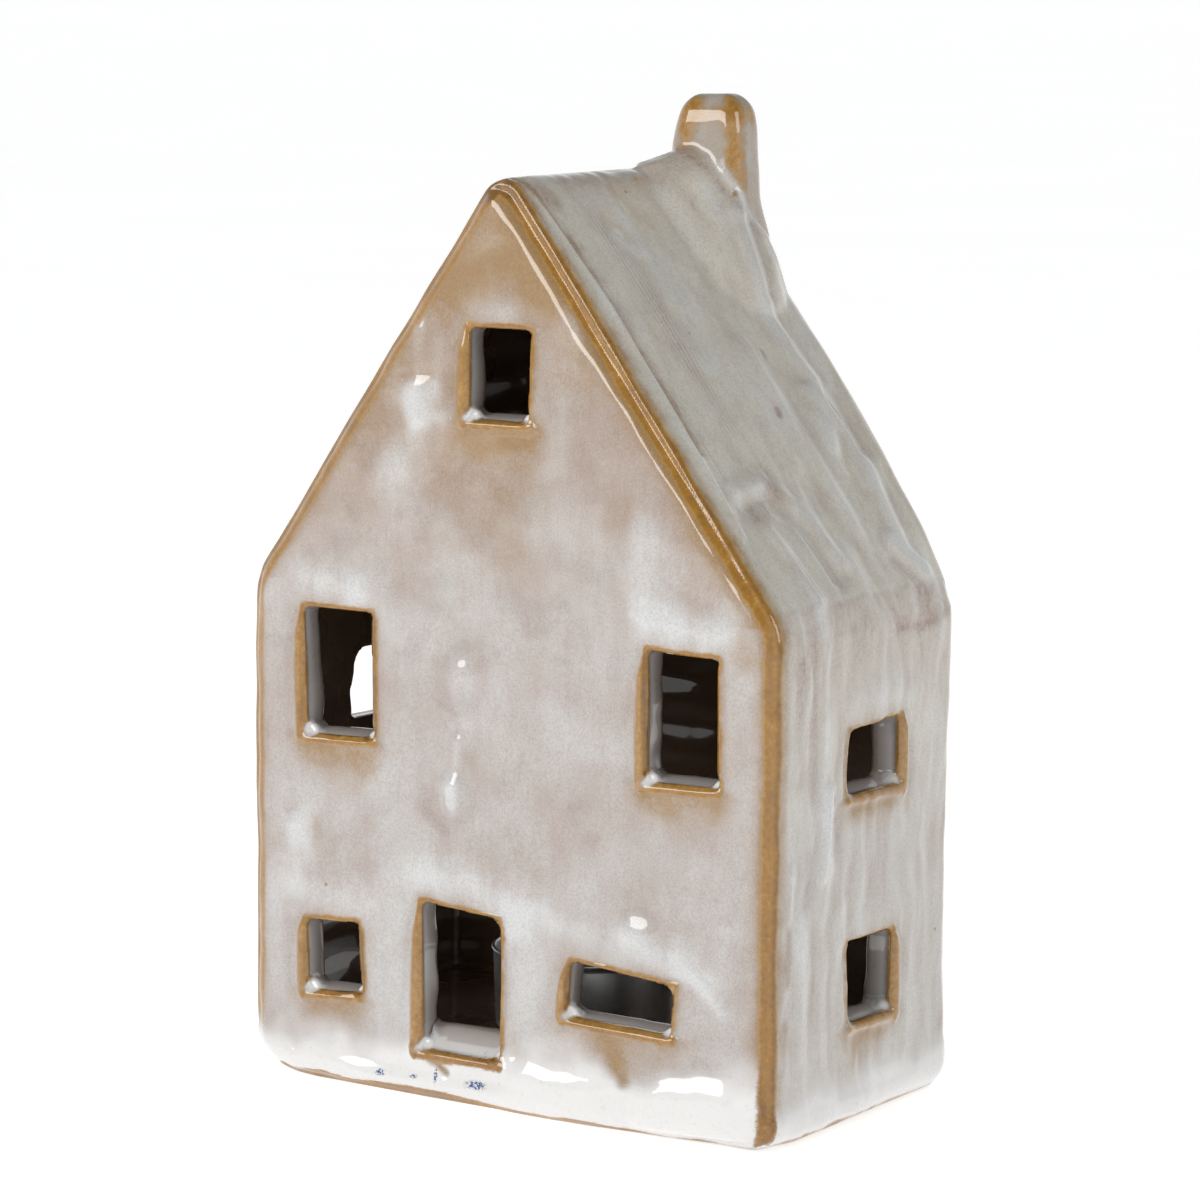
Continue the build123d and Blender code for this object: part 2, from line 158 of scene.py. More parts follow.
# Marks in the glaze and clay of each face: points (along, up), width, relief, and how much white,
# haze and blush they carry; the brown on grooves beside bumps and ridges is painted shade
MARKS = {
    "front": (
        # White glaze that gathered above the openings and beside the door
        (((-8.8, 152.4), (1.5, 151.2)), 1.8, 0.03, 0.55, 0, 0),
        (((31.8, 96.9), (47.5, 95.7)), 3, 0.22, 1, 0, 0),
        (((-45.1, 98.4), (-34.3, 97.2)), 3, 0.15, 0.85, 0, 0),
        (((-47.1, 37.4), (-34.2, 36.5)), 2.6, 0.1, 0.7, 0, 0),
        (((-18.3, 43.2), (-7.5, 43.5), (3.3, 39.1)), 2.8, 0.2, 0.95, 0, 0),
        (((14.1, 37.1), (29.8, 35.6), (41.6, 32.5)), 2.2, 0.1, 0.7, 0, 0),
        (((5.2, 37.2), (6.8, 12.1)), 4, 0.1, 0.7, 0, 0),
        (((-26.3, 37.4), (-24.8, 11.4)), 4.5, 0.1, 0.55, 0, 0),
        (((-52, 37.7), (-51.4, 14.5)), 3, 0, 0.5, 0, 0),
        # The apex
        (((-8.5, 163.2), (-2.6, 166)), 2.4, 0.1, 0.3, 0, 0),
        (((-10.6, 155), (-0.7, 158.9), (12.1, 156.8)), 4.2, 0, 0, 0.9, 0.2),
        (((-0.6, 166.4), (6.2, 161.5)), 3, 0, 0, 0.5, 0),
        # The upper part
        (((-20, 135.3), (-18.5, 130.4)), 2.5, 0.5, 1, 0, 0),
        (((-19.2, 147.4), (-19.6, 137.7)), 1.3, 0.15, 0.35, 0, 0),
        (((-14.3, 143.5), (-14.8, 131.9)), 1, 0.1, 0.25, 0, 0),
        (((-23.3, 138.3), (-16.8, 139.4)), 0.9, -0.1, 0, 0.35, 0.35),
        (((-25, 119.9), (-24.8, 111.3)), 3.6, 0.1, 0.45, 0, 0),
        (((-6.1, 127.1), (4.7, 128)), 3, 0, 0, 0.75, 0),
        (((0.7, 124), (0.9, 108.5)), 5, 0, 0, 0.28, 0.3),
        (((12.9, 146.9), (13.1, 129.6), (14.3, 114.2)), 4, 0, 0.4, 0, 0),
        (((-47.2, 124.6), (-46.5, 122.6)), 1.6, 0, 0, 0.2, 0.5),
        (((-31.9, 124.4), (-31, 114.7)), 3.6, 0, 0, 0, 0.35),
        (((33, 113.9), (33.8, 102.4)), 3.4, 0.1, 0.45, 0, 0),
        (((40.9, 116.7), (46.2, 107)), 4, 0, 0, 0.35, 0.3),
        (((29.5, 138.5), (37.1, 123.5)), 3, 0, 0, 0.35, 0.2),
        (((52.9, 94.9), (53.3, 92.5)), 2.6, 0, 0, 0.75, 0.2),
        # Drips, bumps and dimples, with brown painted as shade in the crescent grooves beside bumps
        (((-10.4, 60.6), (-10.2, 58.3)), 2.4, 1.05, 0.55, 0, 0),
        (((-9.8, 70.1), (-10.2, 62.4)), 1.3, 0.3, 0.35, 0, 0),
        (((-17.5, 62.4), (-16.7, 57.1), (-12.7, 53.9)), 1.7, -0.22, 0, 0, 0.15),
        (((-10.6, 67), (-7.6, 67.2)), 2, 0, 0, 0.25, 0.4),
        (((-9.1, 82.6), (-9, 81.1)), 3.3, 0.42, 0.3, 0, 0),
        (((-15.2, 83.6), (-14.4, 78.3), (-9.9, 76.3)), 1.4, -0.15, 0, 0, 0.1),
        (((16, 60.2), (18, 61.3)), 1.6, 0, 0, 0, 0.35),
        (((20.4, 58.4), (20.4, 57.1)), 3, -0.34, 0.25, 0, 0),
        (((30.3, 38.3), (31.6, 38.1)), 3.4, 0.75, 0.2, 0, 0),
        (((23.5, 37.4), (29.8, 34), (37.2, 35.2)), 1.2, -0.16, 0, 0, 0.1),
        (((-48.2, 49.4), (-47.9, 47.1)), 2.8, 0.42, 0.85, 0, 0),
        (((-44.1, 50.4), (-44, 48.6)), 1.2, 0, 0, 0.35, 0.55),
        (((-48.5, 42.3), (-47.5, 41.3)), 2, 0, 0, 0.1, 0.45),
        (((40.1, 35.2), (44.5, 30.9), (49.5, 26.2)), 1.6, 0.26, 0.6, 0, 0),
        (((42, 34.6), (43.5, 33.8)), 1.1, 0, 0, 0.3, 0.8),
        (((50, 41.6), (50.6, 32)), 2.2, 0.2, 0.3, 0, 0),
        # Thin, tan glaze under the openings
        (((-44.7, 64.2), (-31.4, 63.3)), 2.2, 0, 0, 0.8, 0.1),
        (((-42.8, 60.8), (-34.9, 59.3)), 2.6, 0, 0, 0.2, 0.2),
        (((33.2, 63.4), (46.5, 63.6)), 2.3, 0, 0, 0.8, 0),
        (((37.1, 60), (43.9, 59)), 2.6, 0, 0, 0.28, 0),
        (((-43.5, 14), (-34.6, 14)), 2, 0, 0, 0.65, 0.15),
        (((18.7, 15.7), (25.5, 14.5), (35.4, 15.4)), 2, 0, 0, 0.35, 0.2),
        (((3.5, 14.1), (4, 11.6)), 1.4, 0, 0, 0.6, 0),
        # Bulges and splits in the thick glaze along the foot
        (((7, 5.8), (20, 5.4)), 4.3, 0.75, 0, 0, 0),
        (((37, 6.6), (49, 7.4)), 4.5, 0.8, 0, 0, 0),
        (((-48, 5.2), (-38, 4.8)), 4, 0.35, 0, 0, 0),
        (((-17.7, 10), (-14.4, 8)), 1.5, -0.06, 0, 1, 0.2),
        (((-14.4, 8), (-11.6, 5.8)), 1, -0.06, 0, 0.9, 0.2),
        (((-11.6, 5.8), (-10.4, 2.6)), 0.7, -0.1, 0, 0, 0),
        (((-12.6, 8.2), (-7.5, 9.2)), 1.1, -0.04, 0, 0.6, 0),
        (((24.8, 15.8), (27, 12.6)), 2.6, -0.04, 0, 0.7, 0.1),
        (((27, 12.6), (28.3, 10)), 1.6, -0.06, 0, 0.5, 0.1),
        (((28.6, 10), (29.6, 3)), 0.8, -0.12, 0, 0, 0),
    ),
    "right": (
        (((-14.5, 65.2), (-15.6, 57.5), (-16.7, 50.3)), 1.9, 0.5, 0.8, 0, 0),
        (((-27.4, 52.5), (-28, 43.9)), 1.2, 0.2, 0.5, 0, 0),
        (((-24.9, 89.9), (-25.7, 68.8)), 1.8, 0, 0, 0, 0.5),
        (((-20.7, 91.9), (-19.7, 76.6), (-19.6, 65.1)), 1.5, 0, 0, 0, 0.4),
        (((-12, 59.5), (-11.3, 53.7)), 1.9, -0.1, 0, 0, 0.6),
        (((-20.8, 54.5), (-20.5, 45.9)), 1.3, 0, 0, 0, 0.5),
        (((2, 55.9), (2.5, 44.4)), 3, 0, 0, 0, 0.3),
        (((14.6, 69.5), (14.3, 58)), 1.6, 0, 0, 0.1, 0.4),
        (((-17.5, 61.3), (-16.8, 78.5)), 1.4, 0.15, 0.4, 0, 0),
        (((-23.8, 42), (-23.2, 30.6), (-24, 17.2)), 2, 0.2, 0.5, 0, 0),
        (((-18.9, 40.2), (-18.5, 25)), 1.5, 0, 0, 0, 0.35),
        (((-27.4, 41), (-27.9, 31.5)), 0.8, 0, 0, 0.4, 0.8),
        (((-28.7, 23.8), (-29, 15.2)), 0.8, 0, 0, 0.4, 0.8),
        (((-9.3, 42.3), (-8.6, 36.6)), 2.4, 0.2, 0.5, 0, 0),
        (((-6.4, 80.6), (6.3, 81.3), (15.3, 80)), 2.2, 0.1, 0.5, 0, 0),
        (((-5.6, 60.1), (7.9, 59.4)), 1.9, 0, 0, 0.8, 0.1),
        (((-5.5, 16.1), (7.2, 15.7)), 2, 0, 0, 0.8, 0),
        (((-3.8, 12.4), (3, 12)), 2.2, 0, 0, 0.35, 0.1),
        (((10.7, 93.3), (18.4, 92.6), (28, 94.1)), 1.1, -0.15, 0, 0.15, 0.5),
    ),
    "right_roof": (
        # The scored line behind the front edge, and combed and pinched clay, with brown painted as
        # shade in the dents beside the pinched ridges
        (
            ((-28.9, 99.6), (-26.2, 87.9), (-25.5, 76.2),
             (-25, 64.4), (-24.3, 50.8), (-24.9, 37.1)),
            0.5, -0.34, 0, 0.5, 0.6,
        ),
        (
            ((-27.3, 98.7), (-24.7, 87.9), (-24, 76.2),
             (-23.4, 62.5), (-22.9, 50.8), (-22.8, 31.3)),
            0.55, -0.2, 0, 0, 0.3,
        ),
        (
            ((-28.3, 95.7), (-27.2, 80.1), (-26.6, 62.4),
             (-26.3, 42.9), (-27.2, 19.5)),
            0.6, 0.16, 0.25, 0, 0,
        ),
        (((-24.8, 95.4), (-23.7, 93.2)), 1.8, 0, 0, 0.5, 0.6),
        (((-17.2, 96.8), (1.3, 97.4), (17.9, 97)), 3, 0, 0, 0.15, 0.45),
        (((-10.4, 83.6), (-7.3, 80.7)), 2.4, 0.15, 0.6, 0, 0),
        (((-13.6, 89), (-12.5, 74.3), (-12.8, 54.8)), 2.8, 0, 0, 0, 0.2),
        (((-11.7, 70.4), (-12.9, 41.1)), 2.4, 0, 0, 0, 0.1),
        (((-12.7, 56.7), (-8.2, 54.3)), 2.4, 0.1, 0.55, 0, 0),
        (((-5.6, 66.6), (-2.2, 47.1)), 5, 0.1, 0.2, 0, 0),
        (((21.6, 82.4), (19.3, 68.7), (18.2, 58)), 2.25, 0.57, 0.35, 0, 0),
        (((24.5, 80.5), (21.7, 66.8)), 1.8, -0.34, 0, 0, 0.3),
        (((18.5, 55.1), (20.3, 47.3), (14.8, 33.6)), 2.4, 0.48, 0.3, 0, 0),
        (((16.5, 45.1), (21.8, 35.5), (22.5, 27.9)), 1.95, 0.46, 0.3, 0, 0),
        (((25.3, 43.5), (24.7, 31.8)), 2.1, -0.34, 0, 0, 0.3),
        (((22.4, 25), (20.2, 12.4)), 2.1, 0.48, 0.35, 0, 0),
        (((17.3, 12.3), (24, 5)), 1.8, 0.63, 0.4, 0, 0),
        (((16.4, 9), (22.6, 2.3)), 1.65, -0.34, 0, 0, 0.25),
        (((-22.9, 24.7), (-14.6, 25.9), (-8.2, 19.8), (-5.1, 8.2)), 2.25, -0.39, 0, 0, 0.2),
        (((-21.9, 28), (-11.8, 29.1), (-5.4, 22.7), (-1.9, 10.1)), 2.1, 0.34, 0.35, 0, 0),
        (((-18.7, 19.6), (-15.5, 4.1)), 2.1, 0.34, 0.3, 0, 0),
        (((-11, 28.1), (-10.3, 26.2)), 1.6, 0, 0, 0.3, 0.7),
        (((-17.6, 10.9), (-16.3, 6.7)), 1.5, 0, 0, 0.2, 0.5),
        (((4.4, 56.9), (7.6, 31.6), (8.3, 16.1)), 2.2, 0.2, 0.25, 0, 0),
        (((10.4, 55), (10, 53.6)), 0.4, -0.1, 0, 0.3, 1),
        (((14.6, 88), (14.1, 86.8)), 0.4, -0.1, 0, 0.3, 1),
        (((4.1, 42.5), (3.7, 41.3)), 0.4, -0.1, 0, 0.3, 1),
    ),
}
# Where the right roof was combed: points (along, up), width, strength
COMBED = (
    (((-13.6, 89), (-12.5, 74.3), (-12.8, 54.8)), 2.8, 1),
    (((-11.7, 70.4), (-12.9, 41.1)), 2.4, 0.6),
)

# How much stronger than in the tables the relief of the marks is
MARK_RELIEF = {"front": 1.9, "right_roof": 1.6, "right": 2.0}

# Cobalt specks on the foot: place (x, z) and size (half length, half height)
COBALT_SPECKS = (
    ((-27.0, 3.9), (1.1, 0.5)),
    ((-19.1, 4.2), (0.9, 0.3)),
    ((-13.9, 5.1), (0.35, 1.5)),
    ((-4.7, 4.5), (2.4, 0.7)),
)

# Where the clay smeared up against the chimney ends on it, as (x, y, z), from its left round the
# front to its right, and which of the points is on the corner between front and right
CLAY_EDGE = (
    (-2.7, 29.0, 174.6),
    (-2.0, 25.0, 176.4),
    (-0.4, 23.3, 177.9),
    (2.2, 23.2, 179.5),
    (6.8, 23.2, 179.2),
    (11.1, 23.3, 177.0),
    (13.8, 24.0, 173.7),
    (14.8, 25.0, 171.3),
    (15.1, 25.7, 169.1),
    (15.3, 28.5, 164.2),
    (15.5, 31.2, 161.4),
)
CLAY_CORNER = 7
# How full the lower edge of the front is, and how high its bare clay line stands, at each x
FRONT_FULLNESS = (
    (-60.0, 0.0), (-52.0, 0.3), (-44.0, 0.65), (-30.0, 0.85), (8.0, 0.95), (20.0, 0.6),
    (43.0, 0.12), (52.0, -0.05), (60.0, 0.0),
)
BARE_HEIGHT = (
    (-60.0, 0.2), (-55.0, 0.4), (-46.0, 0.9), (-41.0, 1.3), (-34.0, 0.5), (-27.0, 1.0),
    (-12.0, 1.1), (-3.0, 0.3), (12.0, 0.25), (16.0, 0.7), (22.0, 0.75), (26.0, 0.25),
    (38.0, 0.2), (44.0, 0.6), (50.0, 0.35), (55.0, 0.5), (60.0, 0.7),
)
# How far each roof slab swells out towards the back
ROOF_SWELL = {"right_roof": 3.5, "left_roof": 1.1}
# How much of the chimney's top is domed
DOME_HEIGHT = 8.5
# How far the lower left corner of the front is drawn in and lifted
CORNER_DRAWN = 3.4
CORNER_LIFT = 2.7
# The balls of thick glaze in the lower corners of the openings
BLOB_RADIUS = 1.75
BLOB_DEPTH = 2.0
# How high the white glaze along the foot reaches, on the front and back and on the right
FOOT_TOP = 11.2
RIGHT_FOOT_TOP = 9.0
# How far the drips on the side walls, the lumps on the gables and the folds of the roofs stand
# out, and how deep the roofs' dents are
DRIP_RELIEF = 0.32
LUMP_RELIEF = 0.2
FOLD_RELIEF = 0.3
DENT_RELIEF = 0.5
# How strong the folds and dents of each roof slab are
ROOF_FOLDS = {"right_roof": 1.0, "left_roof": 0.35}
# How far the surface is set back to leave room for the glaze, and how much more on the front
RECESS = 0.08
FRONT_RECESS = 0.5
# Degrees into an edge's rounding where its amber starts, on each side, and where it ends
AMBER_FROM = {"right": 18, "left": 6}
AMBER_UNTIL = 60
# How far the floor of a cut opening rises from its lip to the inside, where it isn't the usual
SILL_RISE = {"doorway": 4.3, "rear_opening": 0.0, "wide_window": 0.9}
USUAL_SILL_RISE = 1.1


class GlazeSizes(bpy.types.PropertyGroup):
    """How the clay and its glaze are shaped."""

    voxel: FloatProperty(
        name="Grain of the form",
        description="Distance between the points of the glazed form",
        default=0.5 * METRES,
        unit="LENGTH",
    )
    hand_wave: FloatProperty(
        name="Hand waviness",
        description="How far the hand-rolled slabs wander from flat",
        default=0.42 * METRES,
        unit="LENGTH",
    )
    foot_roll: FloatProperty(
        name="Foot roll",
        description="Thickness of the glaze that ran down to the foot",
        default=0.85 * METRES,
        unit="LENGTH",
    )
    lip_burr: FloatProperty(
        name="Lip burr",
        description="Height of the burr raised round the cut openings",
        default=0.42 * METRES,
        unit="LENGTH",
    )
    gloss_roughness: FloatProperty(
        name="Gloss roughness",
        description="Roughness of the glaze's clear top layer",
        default=0.035,
        subtype="FACTOR",
    )


def colour_property(label, description, default):
    return FloatVectorProperty(
        name=label, description=description, default=default, subtype="COLOR", size=3, min=0, max=1
    )


class GlazeColours(bpy.types.PropertyGroup):
    """Colours of the glaze, as linear light."""

    rosy: colour_property("Rosy white", "Thin white glaze over clay", (0.325, 0.280, 0.256))
    milky: colour_property("Milky white", "Clouds of thicker glaze", (0.400, 0.394, 0.386))
    # Cloud white also goes on raised glaze as a painted highlight
    cloud_and_highlight: colour_property("Cloud white", "Cool white over the openings", (0.505, 0.522, 0.530))
    pooled: colour_property("Pooled white", "Glaze where it is thickest", (0.690, 0.730, 0.725))
    haze: colour_property("Tan haze", "Glaze thin enough to show the clay", (0.250, 0.155, 0.066))
    # Brown blush is also painted as shade round the relief, in its hollows and grooves, and in the
    # crease at the chimney's foot
    blush_and_shade: colour_property("Brown blush", "Iron bleeding through", (0.240, 0.173, 0.142))
    amber: colour_property("Amber edge", "Glaze broken to amber on the edges", (0.270, 0.128, 0.012))
    golden: colour_property("Golden amber", "Amber where it is lightest", (0.450, 0.275, 0.085))
    umber: colour_property("Dark amber", "Amber where it is darkest", (0.120, 0.062, 0.015))
    roof: colour_property("Roof grey", "Greyer glaze on the roof", (0.500, 0.486, 0.424))
    stack: colour_property("Chimney grey", "Grey glaze on the chimney", (0.320, 0.300, 0.265))
    # Also painted as shade down the reveals of the openings
    inside: colour_property("Dark inside", "Glaze inside the house", (0.100, 0.060, 0.037))
    cobalt: colour_property("Cobalt", "Blue specks on the foot", (0.020, 0.070, 0.220))


class TealightLooks(bpy.types.PropertyGroup):
    """Sizes and colours of the tealight."""

    segments: IntProperty(name="Segments", description="Points round the cup", default=160)
    crimp: FloatProperty(
        name="Crimp depth",
        description="Depth of the fine pleats pressed into the cup's wall",
        default=0.02 * METRES,
        unit="LENGTH",
    )
    metal: colour_property("Cup metal", "Colour of the pressed metal", (0.780, 0.785, 0.790))
    dull_metal: colour_property("Dull metal", "Metal where it was handled", (0.500, 0.500, 0.500))
    wax: colour_property("Wax", "Colour of the wax", (0.830, 0.810, 0.760))
    pale_wax: colour_property("Pale wax", "Cloudy parts of the wax", (0.880, 0.870, 0.840))
    cotton: colour_property("Wick cotton", "Colour of the waxed cotton", (0.780, 0.740, 0.660))
    # Painted shade between the strands
    shaded_cotton: colour_property("Dark cotton", "Between the strands", (0.550, 0.500, 0.420))


class StageLooks(bpy.types.PropertyGroup):
    """The floor, the light and the camera."""

    floor: colour_property("Floor", "Colour of the floor", (0.700, 0.700, 0.700))
    floor_glow: FloatProperty(
        name="Floor glow", description="Light that comes through the pale floor", default=0.68
    )
    horizon: FloatProperty(
        name="Low room light", description="Strength of the light near the horizon", default=0.95
    )
    zenith: FloatProperty(
        name="High room light", description="Strength of the light from above", default=0.3
    )
    sky: colour_property("Room light", "Colour of the light from all round", (0.980, 1.000, 0.995))
    key: FloatProperty(
        name="Key light", description="Power of the soft light in front", default=5.2, unit="POWER"
    )
    key_colour: colour_property("Key colour", "Colour of the key light", (1.000, 0.985, 0.965))
    fill: FloatProperty(
        name="Fill light", description="Power of the soft light at the right", default=2.3, unit="POWER"
    )
    fill_colour: colour_property("Fill colour", "Colour of the fill light", (1.000, 1.000, 0.980))
    yaw: FloatProperty(
        name="Camera yaw",
        description="How far the camera is to the right of the front",
        default=0.58156,
        subtype="ANGLE",
    )
    pitch: FloatProperty(
        name="Camera pitch",
        description="How far the camera looks down",
        default=0.14502,
        subtype="ANGLE",
    )
    roll: FloatProperty(
        name="Camera roll", description="How far the camera leans", default=0.01054, subtype="ANGLE"
    )
    lens: FloatProperty(
        name="Lens", description="Focal length of the camera", default=135.0, unit="CAMERA"
    )
    distance: FloatProperty(
        name="Camera distance",
        description="From the camera to the house",
        default=861.979 * METRES,
        unit="LENGTH",
    )


# Shaping the clay


def new_object(name, mesh):
    made = bpy.data.objects.new(name, mesh)
    bpy.context.scene.collection.objects.link(made)
    return made


def closed_object(name, form):
    """A new object from a closed bmesh form, with its faces turned outwards."""
    bmesh.ops.recalc_face_normals(form, faces=form.faces)
    mesh = bpy.data.meshes.new(name)
    form.to_mesh(mesh)
    form.free()
    return new_object(name, mesh)


def shade_smooth(mesh):
    mesh.polygons.foreach_set("use_smooth", np.ones(len(mesh.polygons), bool))


def evaluated_mesh(obj):
    graph = bpy.context.evaluated_depsgraph_get()
    return bpy.data.meshes.new_from_object(obj.evaluated_get(graph))


def add_ball(form, centre, radius):
    made = bmesh.ops.create_icosphere(form, subdivisions=3, radius=1.0)
    size = Matrix.Diagonal((radius * METRES, radius * METRES, radius * METRES, 1.0))
    place = Matrix.Translation(Vector(centre) * METRES)
    bmesh.ops.transform(form, matrix=place @ size, verts=made["verts"])


def glaze_blobs():
    """Balls of thick white glaze in the lower corners of each opening, larger on one side."""
    balls = []
    for name, (face_name, corners) in OPENINGS.items():
        if name == "rear_opening":
            continue
        face = FACES[face_name]
        low_left, low_right = np.array(corners[0]), np.array(corners[1])
        spots = ((low_left + (0.35, 0.25), 1.0), (low_right + (-0.3, 0.2), 0.8))
        for (along, up), scale in spots:
            centre = face.origin + face.along * along + face.up * up - face.out * BLOB_DEPTH
            balls.append((centre, BLOB_RADIUS * scale))
    return balls


def raw_form():
    """All the clay in one closed form: the slabs and the blobs of glaze in their openings."""
    form = bmesh.new()
    for name in SLABS:
        form.from_mesh(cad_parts[name].data)
    bmesh.ops.remove_doubles(form, verts=form.verts, dist=1e-7)
    for centre, radius in glaze_blobs():
        add_ball(form, centre, radius)
    mesh = bpy.data.meshes.new("raw_form")
    form.to_mesh(mesh)
    form.free()
    return mesh


def rounded_form(voxel):
    """The raw form with its joints fused and its edges softened, as one even mesh."""
    shell = new_object("shell", raw_form())
    remesh = shell.modifiers.new("Fuse", "REMESH")
    remesh.mode = "VOXEL"
    remesh.voxel_size = voxel
    soften = shell.modifiers.new("Soften", "SMOOTH")
    soften.factor = 0.5
    soften.iterations = 5
    mesh = evaluated_mesh(shell)
    bpy.data.objects.remove(shell)
    return mesh


def mesh_places(mesh):
    values = np.empty(len(mesh.vertices) * 3, np.float32)
    mesh.vertices.foreach_get("co", values)
    return values.reshape(-1, 3).astype(float) / METRES


def mesh_normals(mesh):
    values = np.empty(len(mesh.vertices) * 3, np.float32)
    mesh.vertex_normals.foreach_get("vector", values)
    return values.reshape(-1, 3).astype(float)


def set_places(mesh, places):
    mesh.vertices.foreach_set("co", (places * METRES).astype(np.float32).ravel())
    mesh.update()


NOISE_ORDER = np.random.default_rng(7).permutation(256)
NOISE_SLOPES = np.random.default_rng(8).normal(size=(256, 3))
NOISE_SLOPES /= np.linalg.norm(NOISE_SLOPES, axis=1)[:, None]


def soft_noise(places, size, shift, stretch=(1.0, 1.0, 1.0)):
    """Smooth noise from about -1 to 1 with features of about the given size."""
    scaled = places / (np.array(stretch) * size) + shift
    cell = np.floor(scaled).astype(int)
    local = scaled - cell
    ease = local**3 * (local * (local * 6 - 15) + 10)
    total = np.zeros(len(places))
    for corner in np.ndindex(2, 2, 2):
        x, y, z = ((cell + corner) & 255).T
        order = NOISE_ORDER[(NOISE_ORDER[(NOISE_ORDER[x] + y) & 255] + z) & 255]
        weight = np.prod(np.where(corner, ease, 1 - ease), axis=1)
        total += weight * np.sum(NOISE_SLOPES[order] * (local - corner), axis=1)
    return total * 1.5


def distance_to_line(along, up, points):
    """Distance from each place on a face to the line through the points."""
    nearest = np.full(along.shape, np.inf)
    for (start_along, start_up), (end_along, end_up) in zip(points, points[1:]):
        run = np.array([end_along - start_along, end_up - start_up])
        length_squared = max(float(run @ run), 1e-9)
        share = ((along - start_along) * run[0] + (up - start_up) * run[1]) / length_squared
        share = np.clip(share, 0.0, 1.0)
        across = along - start_along - share * run[0]
        above = up - start_up - share * run[1]
        nearest = np.minimum(nearest, np.hypot(across, above))
    return nearest


def distance_to_opening(along, up, corners):
    """Distance outside the opening's outline, negative inside it."""
    edge = distance_to_line(along, up, list(corners) + [corners[0]])
    within = np.ones(along.shape, bool)
    for (start_along, start_up), (end_along, end_up) in zip(
        corners, list(corners[1:]) + [corners[0]]
    ):
        turn = (end_along - start_along) * (up - start_up)
        turn -= (end_up - start_up) * (along - start_along)
        within &= turn > 0
    return np.where(within, -edge, edge)


def above_clay(places):
    """1 on the chimney above the clay smeared round its foot, 0 below that clay's edge."""
    x, y, z = places.T
    edge = np.array(CLAY_EDGE)
    front = edge[: CLAY_CORNER + 1]
    side = edge[CLAY_CORNER:]
    corner_x = 14.3
    back_y = 32.0
    front_line = np.interp(x, front[:, 0], front[:, 2])
    line = np.where(x < corner_x, front_line, np.interp(y, side[:, 1], side[:, 2]))
    line = np.where(y > back_y, CHIMNEY_LOWEST - 10.0, line)
    return smooth_step(-0.5, 0.5, z - line) * (z > CHIMNEY_LOWEST) * (y > CHIMNEY_FRONT)


def swelling(places, face, most):
    """How far a roof slab swells outwards: nothing at the front, most towards the back."""
    up = face.places(places)[1]
    depth = face.depth(places)
    share = np.clip(up / ROOF_SLOPE, 0.0, 1.0)
    towards_back = smooth_step(-HALF_DEPTH - 10, HALF_DEPTH, places[:, 1])
    near = (1 - smooth_step(7.0, 22.0, depth)) * smooth_step(-9.0, -2.0, depth)
    return most * 4 * share * (1 - share) * towards_back * near


# What the glaze has at each point: how far it stands out and rises, how strongly each colour
# shows, and where it is combed or split
FIELDS = ("relief", "lift", "amber", "haze", "white", "milk", "blush_and_shade", "comb", "cobalt", "split")
PACKED_FIELDS = {
    "glaze_flow": ("amber", "haze", "white"),
    "glaze_spots": ("blush_and_shade", "inside", "cobalt"),
    "glaze_clay": ("comb", "grey", "chimney"),
    "glaze_body": ("milk",),
}


class Glaze:
    """What the glaze does at each point of the form. Every field is one number a point."""

    def __init__(self, places, normals):
        self.places = places
        self.normals = normals
        count = len(places)
        for field in FIELDS:
            setattr(self, field, np.zeros(count))
        self.hull_depth = np.min([face.depth(places) for face in FACES.values()], axis=0)
        self.chimney = above_clay(places) * (self.hull_depth < -0.4)
        # The dark inside glaze is ramped in across the wall's thickness as painted shade down the
        # reveals of the openings, and is full on the inner faces
        reveal_shade_and_dark_inside = 0.54 * smooth_step(1.0, 5.2, self.hull_depth)
        reveal_shade_and_dark_inside += 0.46 * smooth_step(5.4, 6.6, self.hull_depth)
        self.inside = reveal_shade_and_dark_inside * (1 - self.chimney)
        self.outside = outer_skin(self.hull_depth)

    def on_face(self, name):
        """1 on the outer skin of a face, falling away round its edges and into its openings."""
        face = FACES[name]
        facing = smooth_step(0.25, 0.65, self.normals @ face.out)
        return facing * outer_skin(face.depth(self.places)) * (1 - self.chimney)

    def on_faces(self, first, second):
        return np.maximum(self.on_face(first), self.on_face(second))

    def rolled(self, first, second):
        """Angle in degrees by which a point on a rounded edge turns from one face to the next."""
        from_first = self.normals @ FACES[first].out
        from_second = self.normals @ FACES[second].out
        return np.degrees(np.arctan2(from_second, from_first))


